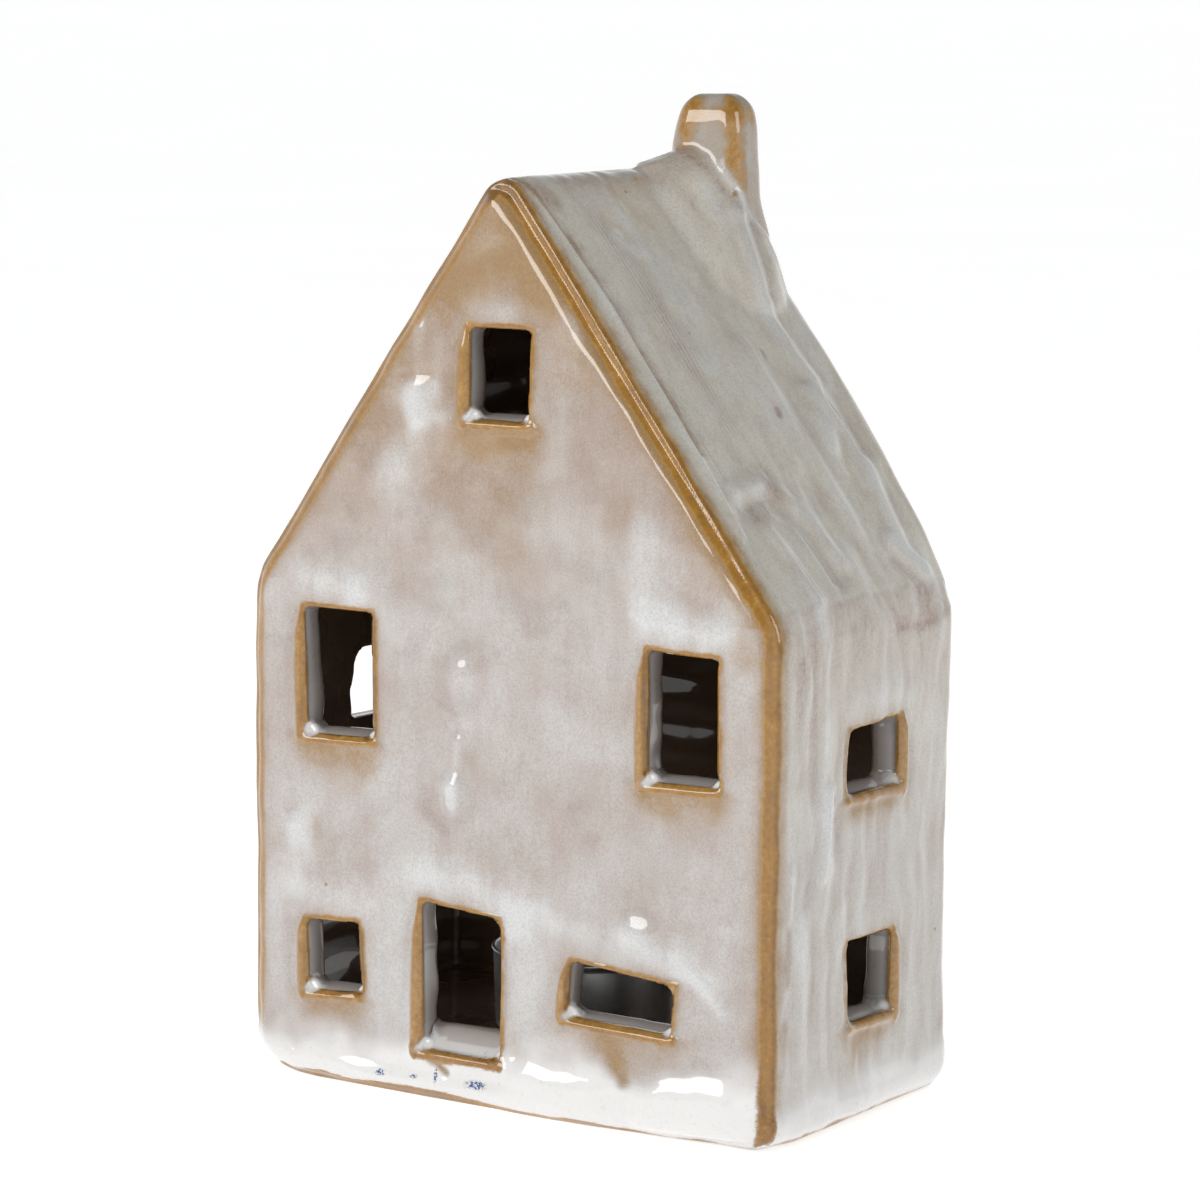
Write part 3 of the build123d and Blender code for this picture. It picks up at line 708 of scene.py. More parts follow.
def add_marks(glaze):
    """The marks in the tables: their relief, and the colours on it and beside it, with a painted
    highlight on raised marks and painted shade round every mark.
    """
    places = glaze.places
    wander = soft_noise(places, 6.0, 71.0) * 1.8 + soft_noise(places, 2.2, 73.0) * 0.6
    for face_name, marks in MARKS.items():
        shown = glaze.on_face(face_name)
        near = np.flatnonzero(shown > 0.01)
        shown = shown[near]
        along, up = FACES[face_name].places(places[near])
        for points, width, relief, white, haze, blush_and_shade in marks:
            gap = distance_to_line(along, up, points)
            amount = bell(gap, width) * shown
            spread = bell(np.maximum(gap + wander[near], 0), 1.5 * width + 0.8) * shown
            blurred = bell(np.maximum(gap + 0.5 * wander[near], 0), 1.25 * width) * shown
            beside = bell(gap - 1.45 * width, 0.55 * width) * shown
            glaze.relief[near] += relief * MARK_RELIEF[face_name] * amount
            glaze.milk[near] += 0.65 * white * spread
            # White on the raised marks, partly for thicker glaze and partly a painted highlight
            glaze.milk[near] += 0.45 * max(relief, 0.0) * bell(gap, 0.85 * width) * shown
            glaze.haze[near] += haze * blurred
            glaze.blush_and_shade[near] += blush_and_shade * blurred
            # Brown in a ring round each raised or sunken mark: painted shade
            glaze.blush_and_shade[near] += 0.4 * min(abs(relief), 0.7) * beside
            if haze > 0.1 and relief < 0:
                glaze.split[near] = np.maximum(glaze.split[near], amount)
        if face_name == "right_roof":
            for points, width, strength in COMBED:
                combed = strength * (bell(distance_to_line(along, up, points), width) * shown)
                glaze.comb[near] = np.maximum(glaze.comb[near], combed)


def add_cobalt(glaze):
    along, up = FACES["front"].places(glaze.places)
    low = (glaze.places[:, 1] < -HALF_DEPTH + 4) & (up < 8)
    for (middle, height), (half_length, half_height) in COBALT_SPECKS:
        reach = np.hypot((along - middle) / half_length, (up - height) / half_height)
        glaze.cobalt += bell(reach, 1.0) * low


def add_lips(glaze, burr):
    """Amber beads round the openings, widest on the side the knife came from."""
    for name, (face_name, corners) in OPENINGS.items():
        face = FACES[face_name]
        depth = face.depth(glaze.places)
        near = np.flatnonzero((depth < WALL + 4.5) & (depth > -2.0))
        along, up = face.places(glaze.places[near])
        gap = distance_to_opening(along, up, corners)
        if name == "rear_opening":
            arch = np.hypot(along - REAR_ARCH_CENTRE[0], up - REAR_ARCH_CENTRE[1])
            gap = np.where(up > REAR_ARCH_CENTRE[1], arch - REAR_ARCH_RADIUS, gap)
        close = np.abs(gap) < 9.0
        near, along, up, gap = near[close], along[close], up[close], gap[close]
        depth = depth[near]
        places = glaze.places[near]
        left, low = np.min(corners, axis=0)
        right, high = np.max(corners, axis=0)
        side = (left + right - 2 * along) / (right - left)
        # On the right wall the wide bead is towards the back
        if face_name == "right":
            side = -side
        tall = (up - low) / (high - low)
        bead = smooth_step(0.9, 1.08, side) * (1 - smooth_step(0.75, 1.02, tall))
        bead *= 0.7 + 0.3 * smooth_step(0.9, 0.3, tall)
        below = smooth_step(0.04, -0.06, tall)
        facing = glaze.normals[near] @ face.out
        skin = smooth_step(-0.1, 0.3, facing) * (1 - smooth_step(1.0, 1.7, depth))
        above = smooth_step(0.96, 1.04, tall)
        reach = 0.5 + np.maximum(1.55 * bead, below)
        wander = soft_noise(places, 2.4, 31.7)
        ragged = soft_noise(places, 1.2, 12.9)
        edge = gap + 0.3 * wander + 0.15 * ragged
        cover = (1 - smooth_step(reach - 0.3, reach + 0.55, edge)) * skin
        glaze.amber[near] += cover * (0.78 + 0.4 * bell(edge - reach + 0.1, 0.4))
        halo = bell(np.maximum(edge - reach, 0), 1.5 + 0.9 * below)
        glaze.haze[near] += (0.55 + 0.25 * below) * halo * skin
        raised = burr * (1 + np.maximum(1.7 * bead, 1.1 * below)) * (1 - 0.75 * above)
        glaze.relief[near] += raised * bell(gap - 0.5 * reach, 0.5 * reach + 0.2) * skin
        groove = 0.3 * (1 - below) * (1 - above)
        glaze.relief[near] -= groove * bell(gap - 1.7 * reach - 0.3, 0.6 * reach) * skin
        sill = smooth_step(0.35, 0.8, glaze.normals[near, 2]) * (gap < 0.8) * (tall < 0.35)
        rise = SILL_RISE.get(name, USUAL_SILL_RISE)
        slope = smooth_step(0.6, 6.0, depth) * (1 - smooth_step(6.6, 9.6, depth))
        glaze.lift[near] += rise * slope * smooth_step(2.6, 0.4, up - low) * (gap < 0.8)
        glaze.white[near] += 0.5 * smooth_step(1.2, 2.2, depth) * bell(gap, 0.8) * (depth < 5)
        # Upward-facing sills keep less of the painted shade of the reveals
        glaze.inside[near] *= 1 - 0.2 * sill * (1 - smooth_step(8.0, 13.0, depth))


def add_blobs(glaze):
    """White glaze over the blobs in the lower corners of the openings."""
    for centre, radius in glaze_blobs():
        away = np.linalg.norm(glaze.places - centre, axis=1)
        near = np.flatnonzero(away < radius * 3)
        ragged = soft_noise(glaze.places[near], 2.6, 50.2)
        cover = 1 - smooth_step(radius, radius * 1.5, away[near] + 0.5 * ragged)
        glaze.amber[near] *= 1 - cover
        glaze.haze[near] *= 1 - cover
        glaze.inside[near] *= 1 - cover
        glaze.white[near] += 0.8 * cover


def add_edges(glaze):
    """Amber along the rounded edges of the house, fuzzy towards the walls."""
    places = glaze.places
    fuzz = soft_noise(places, 3.0, 4.2) * 5.0 + soft_noise(places, 11.0, 8.8) * 6.0
    near_front = places[:, 1] < -HALF_DEPTH + 6
    near_back = places[:, 1] > HALF_DEPTH - 6
    on_roof = places[:, 2] > EAVE_HEIGHT
    fade = smooth_step(6.0, 16.0, places[:, 2] + 1.5 * soft_noise(places, 6.0, 1.4))
    for side, sign in (("right", 1), ("left", -1)):
        for end, near in (("front", near_front), ("back", near_back)):
            wall_turn = glaze.rolled(end, side)
            roof_turn = glaze.rolled(end, side + "_roof")
            turn = np.where(on_roof, roof_turn, wall_turn) + fuzz * 0.6
            start = AMBER_FROM[side]
            band = smooth_step(start, start + 16, turn)
            band *= 1 - smooth_step(AMBER_UNTIL, AMBER_UNTIL + 14, turn)
            band *= 1 + 0.45 * smooth_step(48, 66, turn)
            this_side = (places[:, 0] - PEAK_X * on_roof) * sign > 0
            keep = near & this_side & (glaze.hull_depth < 2.2)
            low = 1.0 if side == "right" and end == "front" else fade
            strength = np.where(on_roof, 1.0, low)
            glaze.amber += band * keep * strength
            halo = smooth_step(-6, 26, turn) * (1 - smooth_step(76, 96, turn))
            glaze.haze += 0.5 * halo * keep * strength
    apex = np.array([PEAK_X, -HALF_DEPTH + 2.0, PEAK_HEIGHT - 5.0])
    glaze.amber += 0.9 * bell(np.linalg.norm(places - apex, axis=1), 3.6)
    ridge_turn = np.degrees(np.arctan2(glaze.normals[:, 0], glaze.normals[:, 2]))
    ridge = bell(ridge_turn, 34) * (places[:, 2] > PEAK_HEIGHT - 8) * glaze.outside
    glaze.blush_and_shade += 0.35 * ridge * (1 - glaze.chimney)
    add_edge_haze(glaze, on_roof, fade)
    add_high_haze(glaze, on_roof, fade)


def add_edge_haze(glaze, on_roof, fade):
    """Tan beside the upright edges and along the front edge of the roof."""
    places = glaze.places
    ragged = soft_noise(places, 2.0, 19.0) * 0.5 + soft_noise(places, 6.0, 21.0) * 0.7
    beside = HALF_WIDTH - np.abs(places[:, 0]) + ragged
    behind = HALF_DEPTH - np.abs(places[:, 1]) + ragged
    upright = ~on_roof & (places[:, 2] > 2)
    edge = bell(np.maximum(np.maximum(beside, behind) - 2.6, 0), 2.0)
    right_front = (places[:, 0] > 0) & (places[:, 1] < 0)
    glaze.haze += 0.4 * edge * upright * glaze.outside * np.where(right_front, 1.0, fade * 0.6)
    over = places[:, 1] + HALF_DEPTH + ragged
    roofs = glaze.on_faces("right_roof", "left_roof")
    glaze.haze += 0.6 * roofs * bell(np.maximum(over - 3.2, 0), 1.5)


def add_high_haze(glaze, on_roof, fade):
    """Tan and brown high on the front, under its slanting edges, and under the eaves."""
    places = glaze.places
    height = places[:, 2]
    front = glaze.on_face("front")
    right_rake = FACES["right_roof"].depth(places)
    left_rake = FACES["left_roof"].depth(places)
    spread = 3.4 + 3.6 * smooth_step(120.0, 165.0, height)
    inner = np.minimum(right_rake, left_rake) - 2.0 + 2.0 * soft_noise(places, 7.0, 15.0)
    glaze.haze += front * 0.75 * bell(np.maximum(inner, 0), spread) * on_roof
    high = smooth_step(88.0, 135.0, height)
    glaze.blush_and_shade += front * 0.5 * high
    glaze.haze += front * 0.4 * high * (1 + soft_noise(places, 14.0, 77.0))
    glaze.haze += front * 0.3 * smooth_step(148.0, 164.0, height)
    walls = glaze.on_faces("right", "left")
    glaze.blush_and_shade += 0.5 * walls * smooth_step(72.0, 95.0, height)
    glaze.haze += front * 0.15 * bell(HALF_WIDTH - np.abs(places[:, 0]) - 2.0, 2.6) * fade


def add_rake_roll(glaze):
    """The front leans back towards its upper right edge, which catches the light there."""
    up = FACES["right_roof"].places(glaze.places)[1]
    depth = FACES["right_roof"].depth(glaze.places)
    wander = soft_noise(glaze.places, 9.0, 5.5) * 1.2
    reach = np.interp(up, (20.0, 45.0, 68.0, 84.0, 100.0), (3.6, 4.6, 6.3, 5.4, 6.2)) + wander
    roll = smooth_step(reach, reach * 0.38, depth)
    drop = np.interp(up, (10.0, 30.0, 50.0, 68.0, 82.0, 94.0), (0.2, 0.4, 0.6, 1.0, 0.7, 1.0))
    glaze.relief -= drop * roll * glaze.on_face("front") * smooth_step(4.0, 30.0, up)


def add_chimney(glaze):
    """The chimney broke to amber along its edges and top, above a smooth white weld with painted shade
    in the crease below it.
    """
    x, y, z = glaze.places.T
    wander = soft_noise(glaze.places, 3.5, 61.0)
    left = np.interp(z, (176.0, 191.0), (-2.9, -0.4))
    right = np.interp(z, (160.0, 191.0), (17.0, 14.6))
    share = (x - left) / (right - left) + 0.06 * wander + 0.05 * soft_noise(glaze.places, 1.4, 62.0)
    facing_front = smooth_step(0.2, 0.6, -glaze.normals[:, 1])
    patchy = 0.78 + 0.5 * soft_noise(glaze.places, 4.0, 64.0) + 0.3 * wander
    stripes = patchy * bell(share - 0.27, 0.14) * facing_front
    stripes += 0.95 * patchy * bell(share - 0.90, 0.11) * smooth_step(-0.2, 0.3, -glaze.normals[:, 1])
    stripes += 0.8 * bell(share - 0.02, 0.07) * smooth_step(184.0, 178.0, z)
    crown = bell(z - 187.0 - 0.8 * wander, 1.7) * smooth_step(0.9, 0.7, glaze.normals[:, 2])
    stripes += 0.75 * crown * (0.75 + 0.5 * soft_noise(glaze.places, 2.6, 66.0))
    turning = 1 - np.max(np.abs(glaze.normals), axis=1)
    behind = smooth_step(0.1, 0.25, turning) * smooth_step(28.0, 32.0, y)
    amount = np.clip(stripes + 0.8 * behind, 0, 1) * glaze.chimney
    weld = np.full(len(x), np.inf)
    near = np.flatnonzero((z > 152) & (y > 17))
    line = [np.array(place) for place in CLAY_EDGE]
    for start, end in zip(line, line[1:]):
        for part in np.linspace(0, 1, 6):
            gap = np.linalg.norm(glaze.places[near] - start * (1 - part) - end * part, axis=1)
            weld[near] = np.minimum(weld[near], gap)
    narrowing = np.interp(z, (160.0, 172.0), (0.55, 1.0))
    white = 1 - smooth_step(0.3 * narrowing, 1.5 * narrowing, weld + 0.1 * wander)
    glaze.amber += amount * (1 - white)
    glaze.haze += (0.05 + 0.3 * facing_front) * glaze.chimney * (1 - white)
    glaze.haze += 0.6 * stripes * glaze.chimney * (1 - white)
    glaze.milk += 0.45 * white
    # Brown just outside the weld, on the roof's clay: painted shade in the crease at the chimney's foot
    glaze.blush_and_shade += 0.45 * bell(weld - 2.6, 1.1) * (1 - glaze.chimney) * (z > 162)
    glaze.relief -= 0.1 * white


def domed(places):
    """The places, with the chimney's top drawn in to a dome."""
    x, y, z = places.T
    start = CHIMNEY_HEIGHT - DOME_HEIGHT
    share = np.clip((z - start) / DOME_HEIGHT, 0.0, 1.0) * (y > CHIMNEY_FRONT) * (z > start)
    drawn = np.sqrt(1 - 0.42 * share**2)
    middle_x, middle_y = CHIMNEY_MIDDLE
    return np.stack([middle_x + (x - middle_x) * drawn, middle_y + (y - middle_y) * drawn, z], axis=1)


def add_lower_edge(glaze):
    """The lower edge is fuller than an even rounding along the front, and lifts at its corner."""
    x, y, z = glaze.places.T
    down = np.clip(-glaze.normals[:, 2], 0, 1)
    to_front = np.clip(-glaze.normals[:, 1], 0, 1)
    to_side = np.clip(glaze.normals[:, 0], 0, 1)
    fullness = np.interp(x, *np.transpose(FRONT_FULLNESS)) * np.clip(to_front + down - 1, 0, 1)
    fullness += 0.45 * np.clip(to_side + down - 1, 0, 1) * smooth_step(-31.0, -20.0, y)
    low = (z < 9) & (glaze.hull_depth < 3)
    moved = 4.6 * fullness * low
    glaze.relief += moved
    return z + moved * glaze.normals[:, 2]


def add_foot(glaze, thickness):
    """Thick white glaze gathered in an uneven roll along the foot, with bare clay below it."""
    x = glaze.places[:, 0]
    z = add_lower_edge(glaze)
    wander = soft_noise(glaze.places, 15.0, 3.3) * 4.6 + soft_noise(glaze.places, 5.0, 6.1) * 1.6
    top = FOOT_TOP + wander + 0.05 * x
    top = np.where(glaze.normals[:, 0] > 0.6, RIGHT_FOOT_TOP + 0.6 * wander, top)
    profile = smooth_step(0.0, 3.4, z) * (1 - smooth_step(top * 0.62, top * 1.12, z))
    skin = (glaze.hull_depth < 3.0) & (z < 20)
    flare = 0.8 + 0.5 * soft_noise(glaze.places, 13.0, 12.0)
    sideways = 1 - smooth_step(0.5, 0.95, np.abs(glaze.normals[:, 2]))
    glaze.relief += thickness * profile * flare * skin * sideways
    cover = skin * (1 - smooth_step(top * 0.45, top * 1.5, z)) * (1 - 0.92 * glaze.split)
    glaze.white += 1.15 * cover
    glaze.blush_and_shade *= 1 - 0.7 * cover
    height = np.full(len(x), 0.3)
    front = glaze.places[:, 1] < -HALF_DEPTH + 7
    height[front] = np.interp(x[front], *np.transpose(BARE_HEIGHT))
    right = (glaze.normals[:, 0] > 0.5) & (x > 50)
    height[right] = np.interp(glaze.places[right, 1], (-34, -20, 0, 20, 34), (0.7, 0.9, 1.0, 0.5, 0.2))
    height = 1.4 * height + 0.12 * soft_noise(glaze.places, 4.0, 2.2)
    bare = (1 - smooth_step(height, height + 0.45, z)) * skin
    glaze.amber += 0.85 * bare
    glaze.amber += 0.3 * bare * smooth_step(0.5, 1.2, height)
    glaze.amber = np.minimum(glaze.amber, 1.4)
    glaze.white *= 1 - bare


def add_hand(glaze, wave):
    """The uneven surface that hands and the kiln leave, with white painted on its raised parts as
    highlight and brown in its hollows as shade.
    """
    places = glaze.places
    broad = soft_noise(places, 30.0, 0.5) * 0.9 + soft_noise(places, 12.0, 2.5) * 0.42
    fine = soft_noise(places, 4.5, 9.5) * 0.10
    glaze.relief += wave * (broad * glaze.outside + fine)
    bend = soft_noise(places, 15.0, 23.0) * 3.0 + soft_noise(places, 6.0, 24.0) * 0.8
    bent = places.copy()
    bent[:, 1] += bend
    drips = soft_noise(bent, 4.6, 17.0, stretch=(1.0, 1.0, 4.5))
    drips += 0.35 * soft_noise(bent, 1.9, 18.0, stretch=(1.0, 1.0, 5.0))
    wall = glaze.on_faces("right", "left")
    glaze.relief += DRIP_RELIEF * drips * wall
    # White on the raised drips and brown between them: partly thicker and thinner glaze, partly painted
    # highlight and shade
    glaze.milk += 0.6 * np.maximum(drips - 0.1, 0) * wall
    glaze.blush_and_shade += 0.6 * np.maximum(-drips - 0.1, 0) * wall
    lumps = soft_noise(places, 6.5, 29.0, stretch=(1.0, 1.0, 1.5))
    front = glaze.on_face("front")
    gables = front + glaze.on_face("back")
    glaze.relief += LUMP_RELIEF * lumps * gables
    # White on the raised lumps and brown on the sunken ones: painted highlight and shade
    glaze.milk += 0.35 * np.maximum(lumps - 0.15, 0) * gables
    glaze.blush_and_shade += 0.3 * np.maximum(-lumps - 0.15, 0) * gables
    folds = soft_noise(places, 5.0, 27.0, stretch=(2.6, 0.8, 3.4))
    dents = soft_noise(places, 9.0, 33.0, stretch=(1.6, 0.8, 2.0))
    uneven = FOLD_RELIEF * folds + DENT_RELIEF * np.minimum(dents + 0.1, 0)
    for roof, strength in ROOF_FOLDS.items():
        shown = glaze.on_face(roof)
        glaze.relief += uneven * shown * strength
        # White on the raised folds and brown in the hollows between them: painted highlight and shade
        glaze.milk += 0.6 * np.maximum(folds - 0.05, 0) * shown
        glaze.blush_and_shade += 0.45 * np.maximum(-folds - 0.15, 0) * shown
    bands = soft_noise(places, 7.0, 41.0, stretch=(4.0, 4.0, 1.0))
    glaze.relief += 0.8 * bands * glaze.inside
    # Set back, and nowhere proud of the slabs by more than the free height and the room over it
    glaze.relief -= (RECESS + FRONT_RECESS * front) * glaze.outside * (1 - glaze.chimney)
    to_front = smooth_step(20.0, -20.0, places[:, 1])
    free = 0.3 + 0.35 * to_front
    room = 0.3 + 0.6 * to_front
    proud = np.maximum(glaze.relief - free, 0.0)
    glaze.relief += (room * np.tanh(proud / room) - proud) * glaze.outside


def add_grey(glaze):
    """The glaze is greyer on the roof, and on the side walls towards the eaves."""
    wall = 0.45 + 0.5 * smooth_step(50.0, EAVE_HEIGHT - 0.5, glaze.places[:, 2])
    roofs = glaze.on_faces("right_roof", "left_roof")
    glaze.grey = np.maximum(roofs, wall * glaze.on_faces("right", "left"))


def pack_fields(mesh, glaze):
    """Stores the fields that the material reads, three to each attribute."""
    for name, fields in PACKED_FIELDS.items():
        values = np.zeros((len(glaze.places), 3), np.float32)
        for column, field in enumerate(fields):
            values[:, column] = np.clip(getattr(glaze, field), 0, 2)
        packed = mesh.attributes.new(name, "FLOAT_VECTOR", "POINT")
        packed.data.foreach_set("vector", values.ravel())


def draw_in_corner(places):
    """The lower left corner of the front is drawn in and lifted off the ground."""
    to_front = smooth_step(30.0, -20.0, places[:, 1])
    drawn = smooth_step(-49.0, -60.0, places[:, 0]) * smooth_step(10.0, 0.0, places[:, 2]) ** 1.5
    places[:, 0] += CORNER_DRAWN * drawn * to_front
    lift = np.clip((-47.0 - places[:, 0]) / 13.0, 0, 1) ** 2 * to_front
    places[:, 2] += CORNER_LIFT * lift * np.clip(1 - places[:, 2] / 14.0, 0, 1)


def glazed_form(sizes):
    """The whole glazed form with its fields, before it is parted into slabs."""
    mesh = rounded_form(sizes.voxel)
    glaze = Glaze(mesh_places(mesh), mesh_normals(mesh))
    add_marks(glaze)
    add_edges(glaze)
    add_rake_roll(glaze)
    add_chimney(glaze)
    add_lips(glaze, sizes.lip_burr / METRES)
    add_blobs(glaze)
    add_foot(glaze, sizes.foot_roll / METRES)
    add_cobalt(glaze)
    add_hand(glaze, sizes.hand_wave / METRES)
    add_grey(glaze)
    swollen = np.zeros_like(glaze.places)
    for name, most in ROOF_SWELL.items():
        face = FACES[name]
        swollen += face.out * swelling(glaze.places, face, most)[:, None]
    shaped = domed(glaze.places) + swollen + glaze.normals * glaze.relief[:, None]
    shaped[:, 2] += glaze.lift
    draw_in_corner(shaped)
    shaped[:, 2] = np.maximum(shaped[:, 2], 0.0)
    set_places(mesh, shaped)
    pack_fields(mesh, glaze)
    return mesh


# Parting the form into its slabs


def prism(name, outline, front, back):
    """A closed block with an outline of (x, z) points, from front to back."""
    form = bmesh.new()
    ends = []
    for depth in (front, back):
        ends.append([form.verts.new(Vector((x, depth, z)) * METRES) for x, z in outline])
    form.faces.new(ends[0])
    form.faces.new(list(reversed(ends[1])))
    near, far = ends
    for index in range(len(outline)):
        following = (index + 1) % len(outline)
        form.faces.new((near[following], near[index], far[index], far[following]))
    return closed_object(name, form)


def cut(source, cutter, operation):
    """The source cut by the cutter, as a new object."""
    knife = source.modifiers.new("Cut", "BOOLEAN")
    knife.solver = "MANIFOLD"
    knife.operation = operation
    knife.object = cutter
    mesh = evaluated_mesh(source)
    source.modifiers.remove(knife)
    return new_object("cut", mesh)


def parting_blocks():
    """The block of space that each slab has, as an outline of (x, z) points and two depths."""
    far = 90.0
    tall = 230.0
    # Inside the room, clear of the walls and under the roof
    inner_x = 20.0
    inner_z = 86.0
    inner_front = -HALF_DEPTH + WALL
    inner_back = HALF_DEPTH - WALL
    mitre_left = (-53.5, 95.45)
    mitre_right = (53.5, 95.32)
    mitre_peak = (-2.08, 168.95)
    out_left = (-HALF_WIDTH - 20.0, EAVE_HEIGHT + 6.3)
    out_right = (HALF_WIDTH + 20.0, EAVE_HEIGHT + 6.7)
    middle = (0.0, 90.0)
    above_peak = (PEAK_X - 1.0, tall)
    floor = ((-far, -5.0), (far, -5.0), (far, FLOOR), (-far, FLOOR))
    gable = ((-far, FLOOR), (far, FLOOR), (far, tall), (-far, tall))
    blocks = {
        "floor_slab": (floor, -far, far),
        "front_gable": (gable, -far, inner_front),
        "back_gable": (gable, inner_back, far),
    }
    sides = (("left", -1, mitre_left, out_left), ("right", 1, mitre_right, out_right))
    for side, sign, mitre, out in sides:
        edge = sign * far
        inner = sign * inner_x
        wall = ((edge, FLOOR), (inner, FLOOR), (inner, inner_z), mitre, out, (edge, EAVE_HEIGHT))
        blocks[side + "_wall"] = (wall, inner_front, inner_back)
        roof = (out, mitre, middle, mitre_peak, above_peak, (edge, tall))
        blocks[side + "_roof"] = (roof, inner_front, inner_back)
    return {name: blocks[name] for name in SLABS if name in blocks}


# A slab that comes out of the parting with fewer faces is missing
FEWEST_FACES = 100

# The chimney's block goes down to the clay smeared round its foot
CHIMNEY_BLOCK = (
    ((-9.0, 175.9), (0.85, 175.9), (28.0, 139.9), (40.0, 139.9), (40.0, 210.0), (-9.0, 210.0)),
    5.0,
    36.5,
)


def part_slabs(whole, material):
    """Parts the whole form into one closed piece for each slab."""
    source = whole.data
    tree = kdtree.KDTree(len(source.vertices))
    for index, vertex in enumerate(source.vertices):
        tree.insert(vertex.co, index)
    tree.balance()
    normals = mesh_normals(source)
    fields = {}
    for name in PACKED_FIELDS:
        values = np.empty(len(source.vertices) * 3, np.float32)
        source.attributes[name].data.foreach_get("vector", values)
        fields[name] = values.reshape(-1, 3)
    chimney_cutter = prism("chimney_cutter", *CHIMNEY_BLOCK)
    parted = {"chimney": cut(whole, chimney_cutter, "INTERSECT")}
    rest = cut(whole, chimney_cutter, "DIFFERENCE")
    used = [chimney_cutter, rest]
    for name, block in parting_blocks().items():
        cutter = prism(name + "_cutter", *block)
        parted[name] = cut(rest, cutter, "INTERSECT")
        used.append(cutter)
    for obj in used:
        bpy.data.objects.remove(obj)
    for name, slab in parted.items():
        slab.name = name + "_glazed"
        mesh = slab.data
        mesh.name = slab.name
        nearest = np.array([tree.find(vertex.co)[1] for vertex in mesh.vertices])
        for field, values in fields.items():
            old = mesh.attributes.get(field)
            if old:
                mesh.attributes.remove(old)
            packed = mesh.attributes.new(field, "FLOAT_VECTOR", "POINT")
            packed.data.foreach_set("vector", values[nearest].ravel())
        shade_smooth(mesh)
        mesh.normals_split_custom_set_from_vertices(normals[nearest].tolist())
        mesh.materials.clear()
        mesh.materials.append(material)
    return parted


# Materials

# Width of the wave texture's bands where its scale is 1
BAND_WIDTH = 0.314


class Nodes:
    """Makes the nodes of one tree. Their inputs are numbers, colours or other nodes' outputs."""

    def __init__(self, tree):
        self.tree = tree

    def set_inputs(self, node, inputs):
        for key, value in inputs.items():
            if isinstance(value, bpy.types.NodeSocket):
                self.tree.links.new(value, node.inputs[key])
            else:
                node.inputs[key].default_value = value

    def add(self, kind, inputs, **settings):
        """The outputs of a new node."""
        made = self.tree.nodes.new("ShaderNode" + kind)
        for key, value in settings.items():
            setattr(made, key, value)
        self.set_inputs(made, inputs)
        return made.outputs

    def blend(self, share, below, above, mode="MIX"):
        """The colour below covered by the one above, by the given share."""

        def whole(colour):
            return colour if isinstance(colour, bpy.types.NodeSocket) else (*colour, 1.0)

        inputs = {0: share, 6: whole(below), 7: whole(above)}
        return self.add("Mix", inputs, data_type="RGBA", blend_type=mode)[2]

    def ramp(self, value, low, high, to_low=0.0, to_high=1.0):
        inputs = {"Value": value, "From Min": low, "From Max": high}
        inputs.update({"To Min": to_low, "To Max": to_high})
        return self.add("MapRange", inputs, interpolation_type="SMOOTHSTEP")[0]

    def maths(self, operation, *values):
        return self.add("Math", dict(enumerate(values)), operation=operation)[0]

    def plus(self, first, second):
        return self.maths("ADD", first, second)

    def times(self, first, second):
        return self.maths("MULTIPLY", first, second)

    def times_plus(self, first, second, third):
        return self.maths("MULTIPLY_ADD", first, second, third)

    def shaken(self, value, grain, strength):
        """The value moved up and down by a grain, by half the strength at most."""
        return self.times_plus(self.maths("SUBTRACT", grain, 0.5), strength, value)

    def stretched(self, places, scale):
        return self.add("VectorMath", {0: places, 1: scale}, operation="MULTIPLY")[0]

    def cloud(self, places, size, detail=3.0, roughness=0.55, distortion=0.0):
        """Noise with features of about the given size in millimetres."""
        inputs = {"Vector": places, "Scale": 1.0 / (size * METRES), "Detail": detail}
        inputs.update({"Roughness": roughness, "Distortion": distortion})
        return self.add("TexNoise", inputs)[0]

    def bands(self, places, size, distortion, direction):
        """Even bands, each of about the given size in millimetres."""
        inputs = {"Vector": places, "Scale": BAND_WIDTH / (size * METRES), "Detail": 2.0}
        inputs["Distortion"] = distortion
        return self.add("TexWave", inputs, bands_direction=direction)[1]

    def bump(self, height, strength, distance):
        inputs = {"Height": height, "Strength": strength, "Distance": distance * METRES}
        return self.add("Bump", inputs)[0]

    def field(self, name):
        """The three numbers that a field of the form holds at each point."""
        vector = self.add("Attribute", {}, attribute_name=name)["Vector"]
        return self.add("SeparateXYZ", {0: vector})


def new_material(name):
    material = bpy.data.materials.new(name)
    material.use_nodes = True
    tree = material.node_tree
    tree.nodes.clear()
    shader = tree.nodes.new("ShaderNodeBsdfPrincipled")
    output = tree.nodes.new("ShaderNodeOutputMaterial")
    tree.links.new(shader.outputs[0], output.inputs[0])
    places = tree.nodes.new("ShaderNodeTexCoord").outputs["Object"]
    return material, Nodes(tree), shader, places


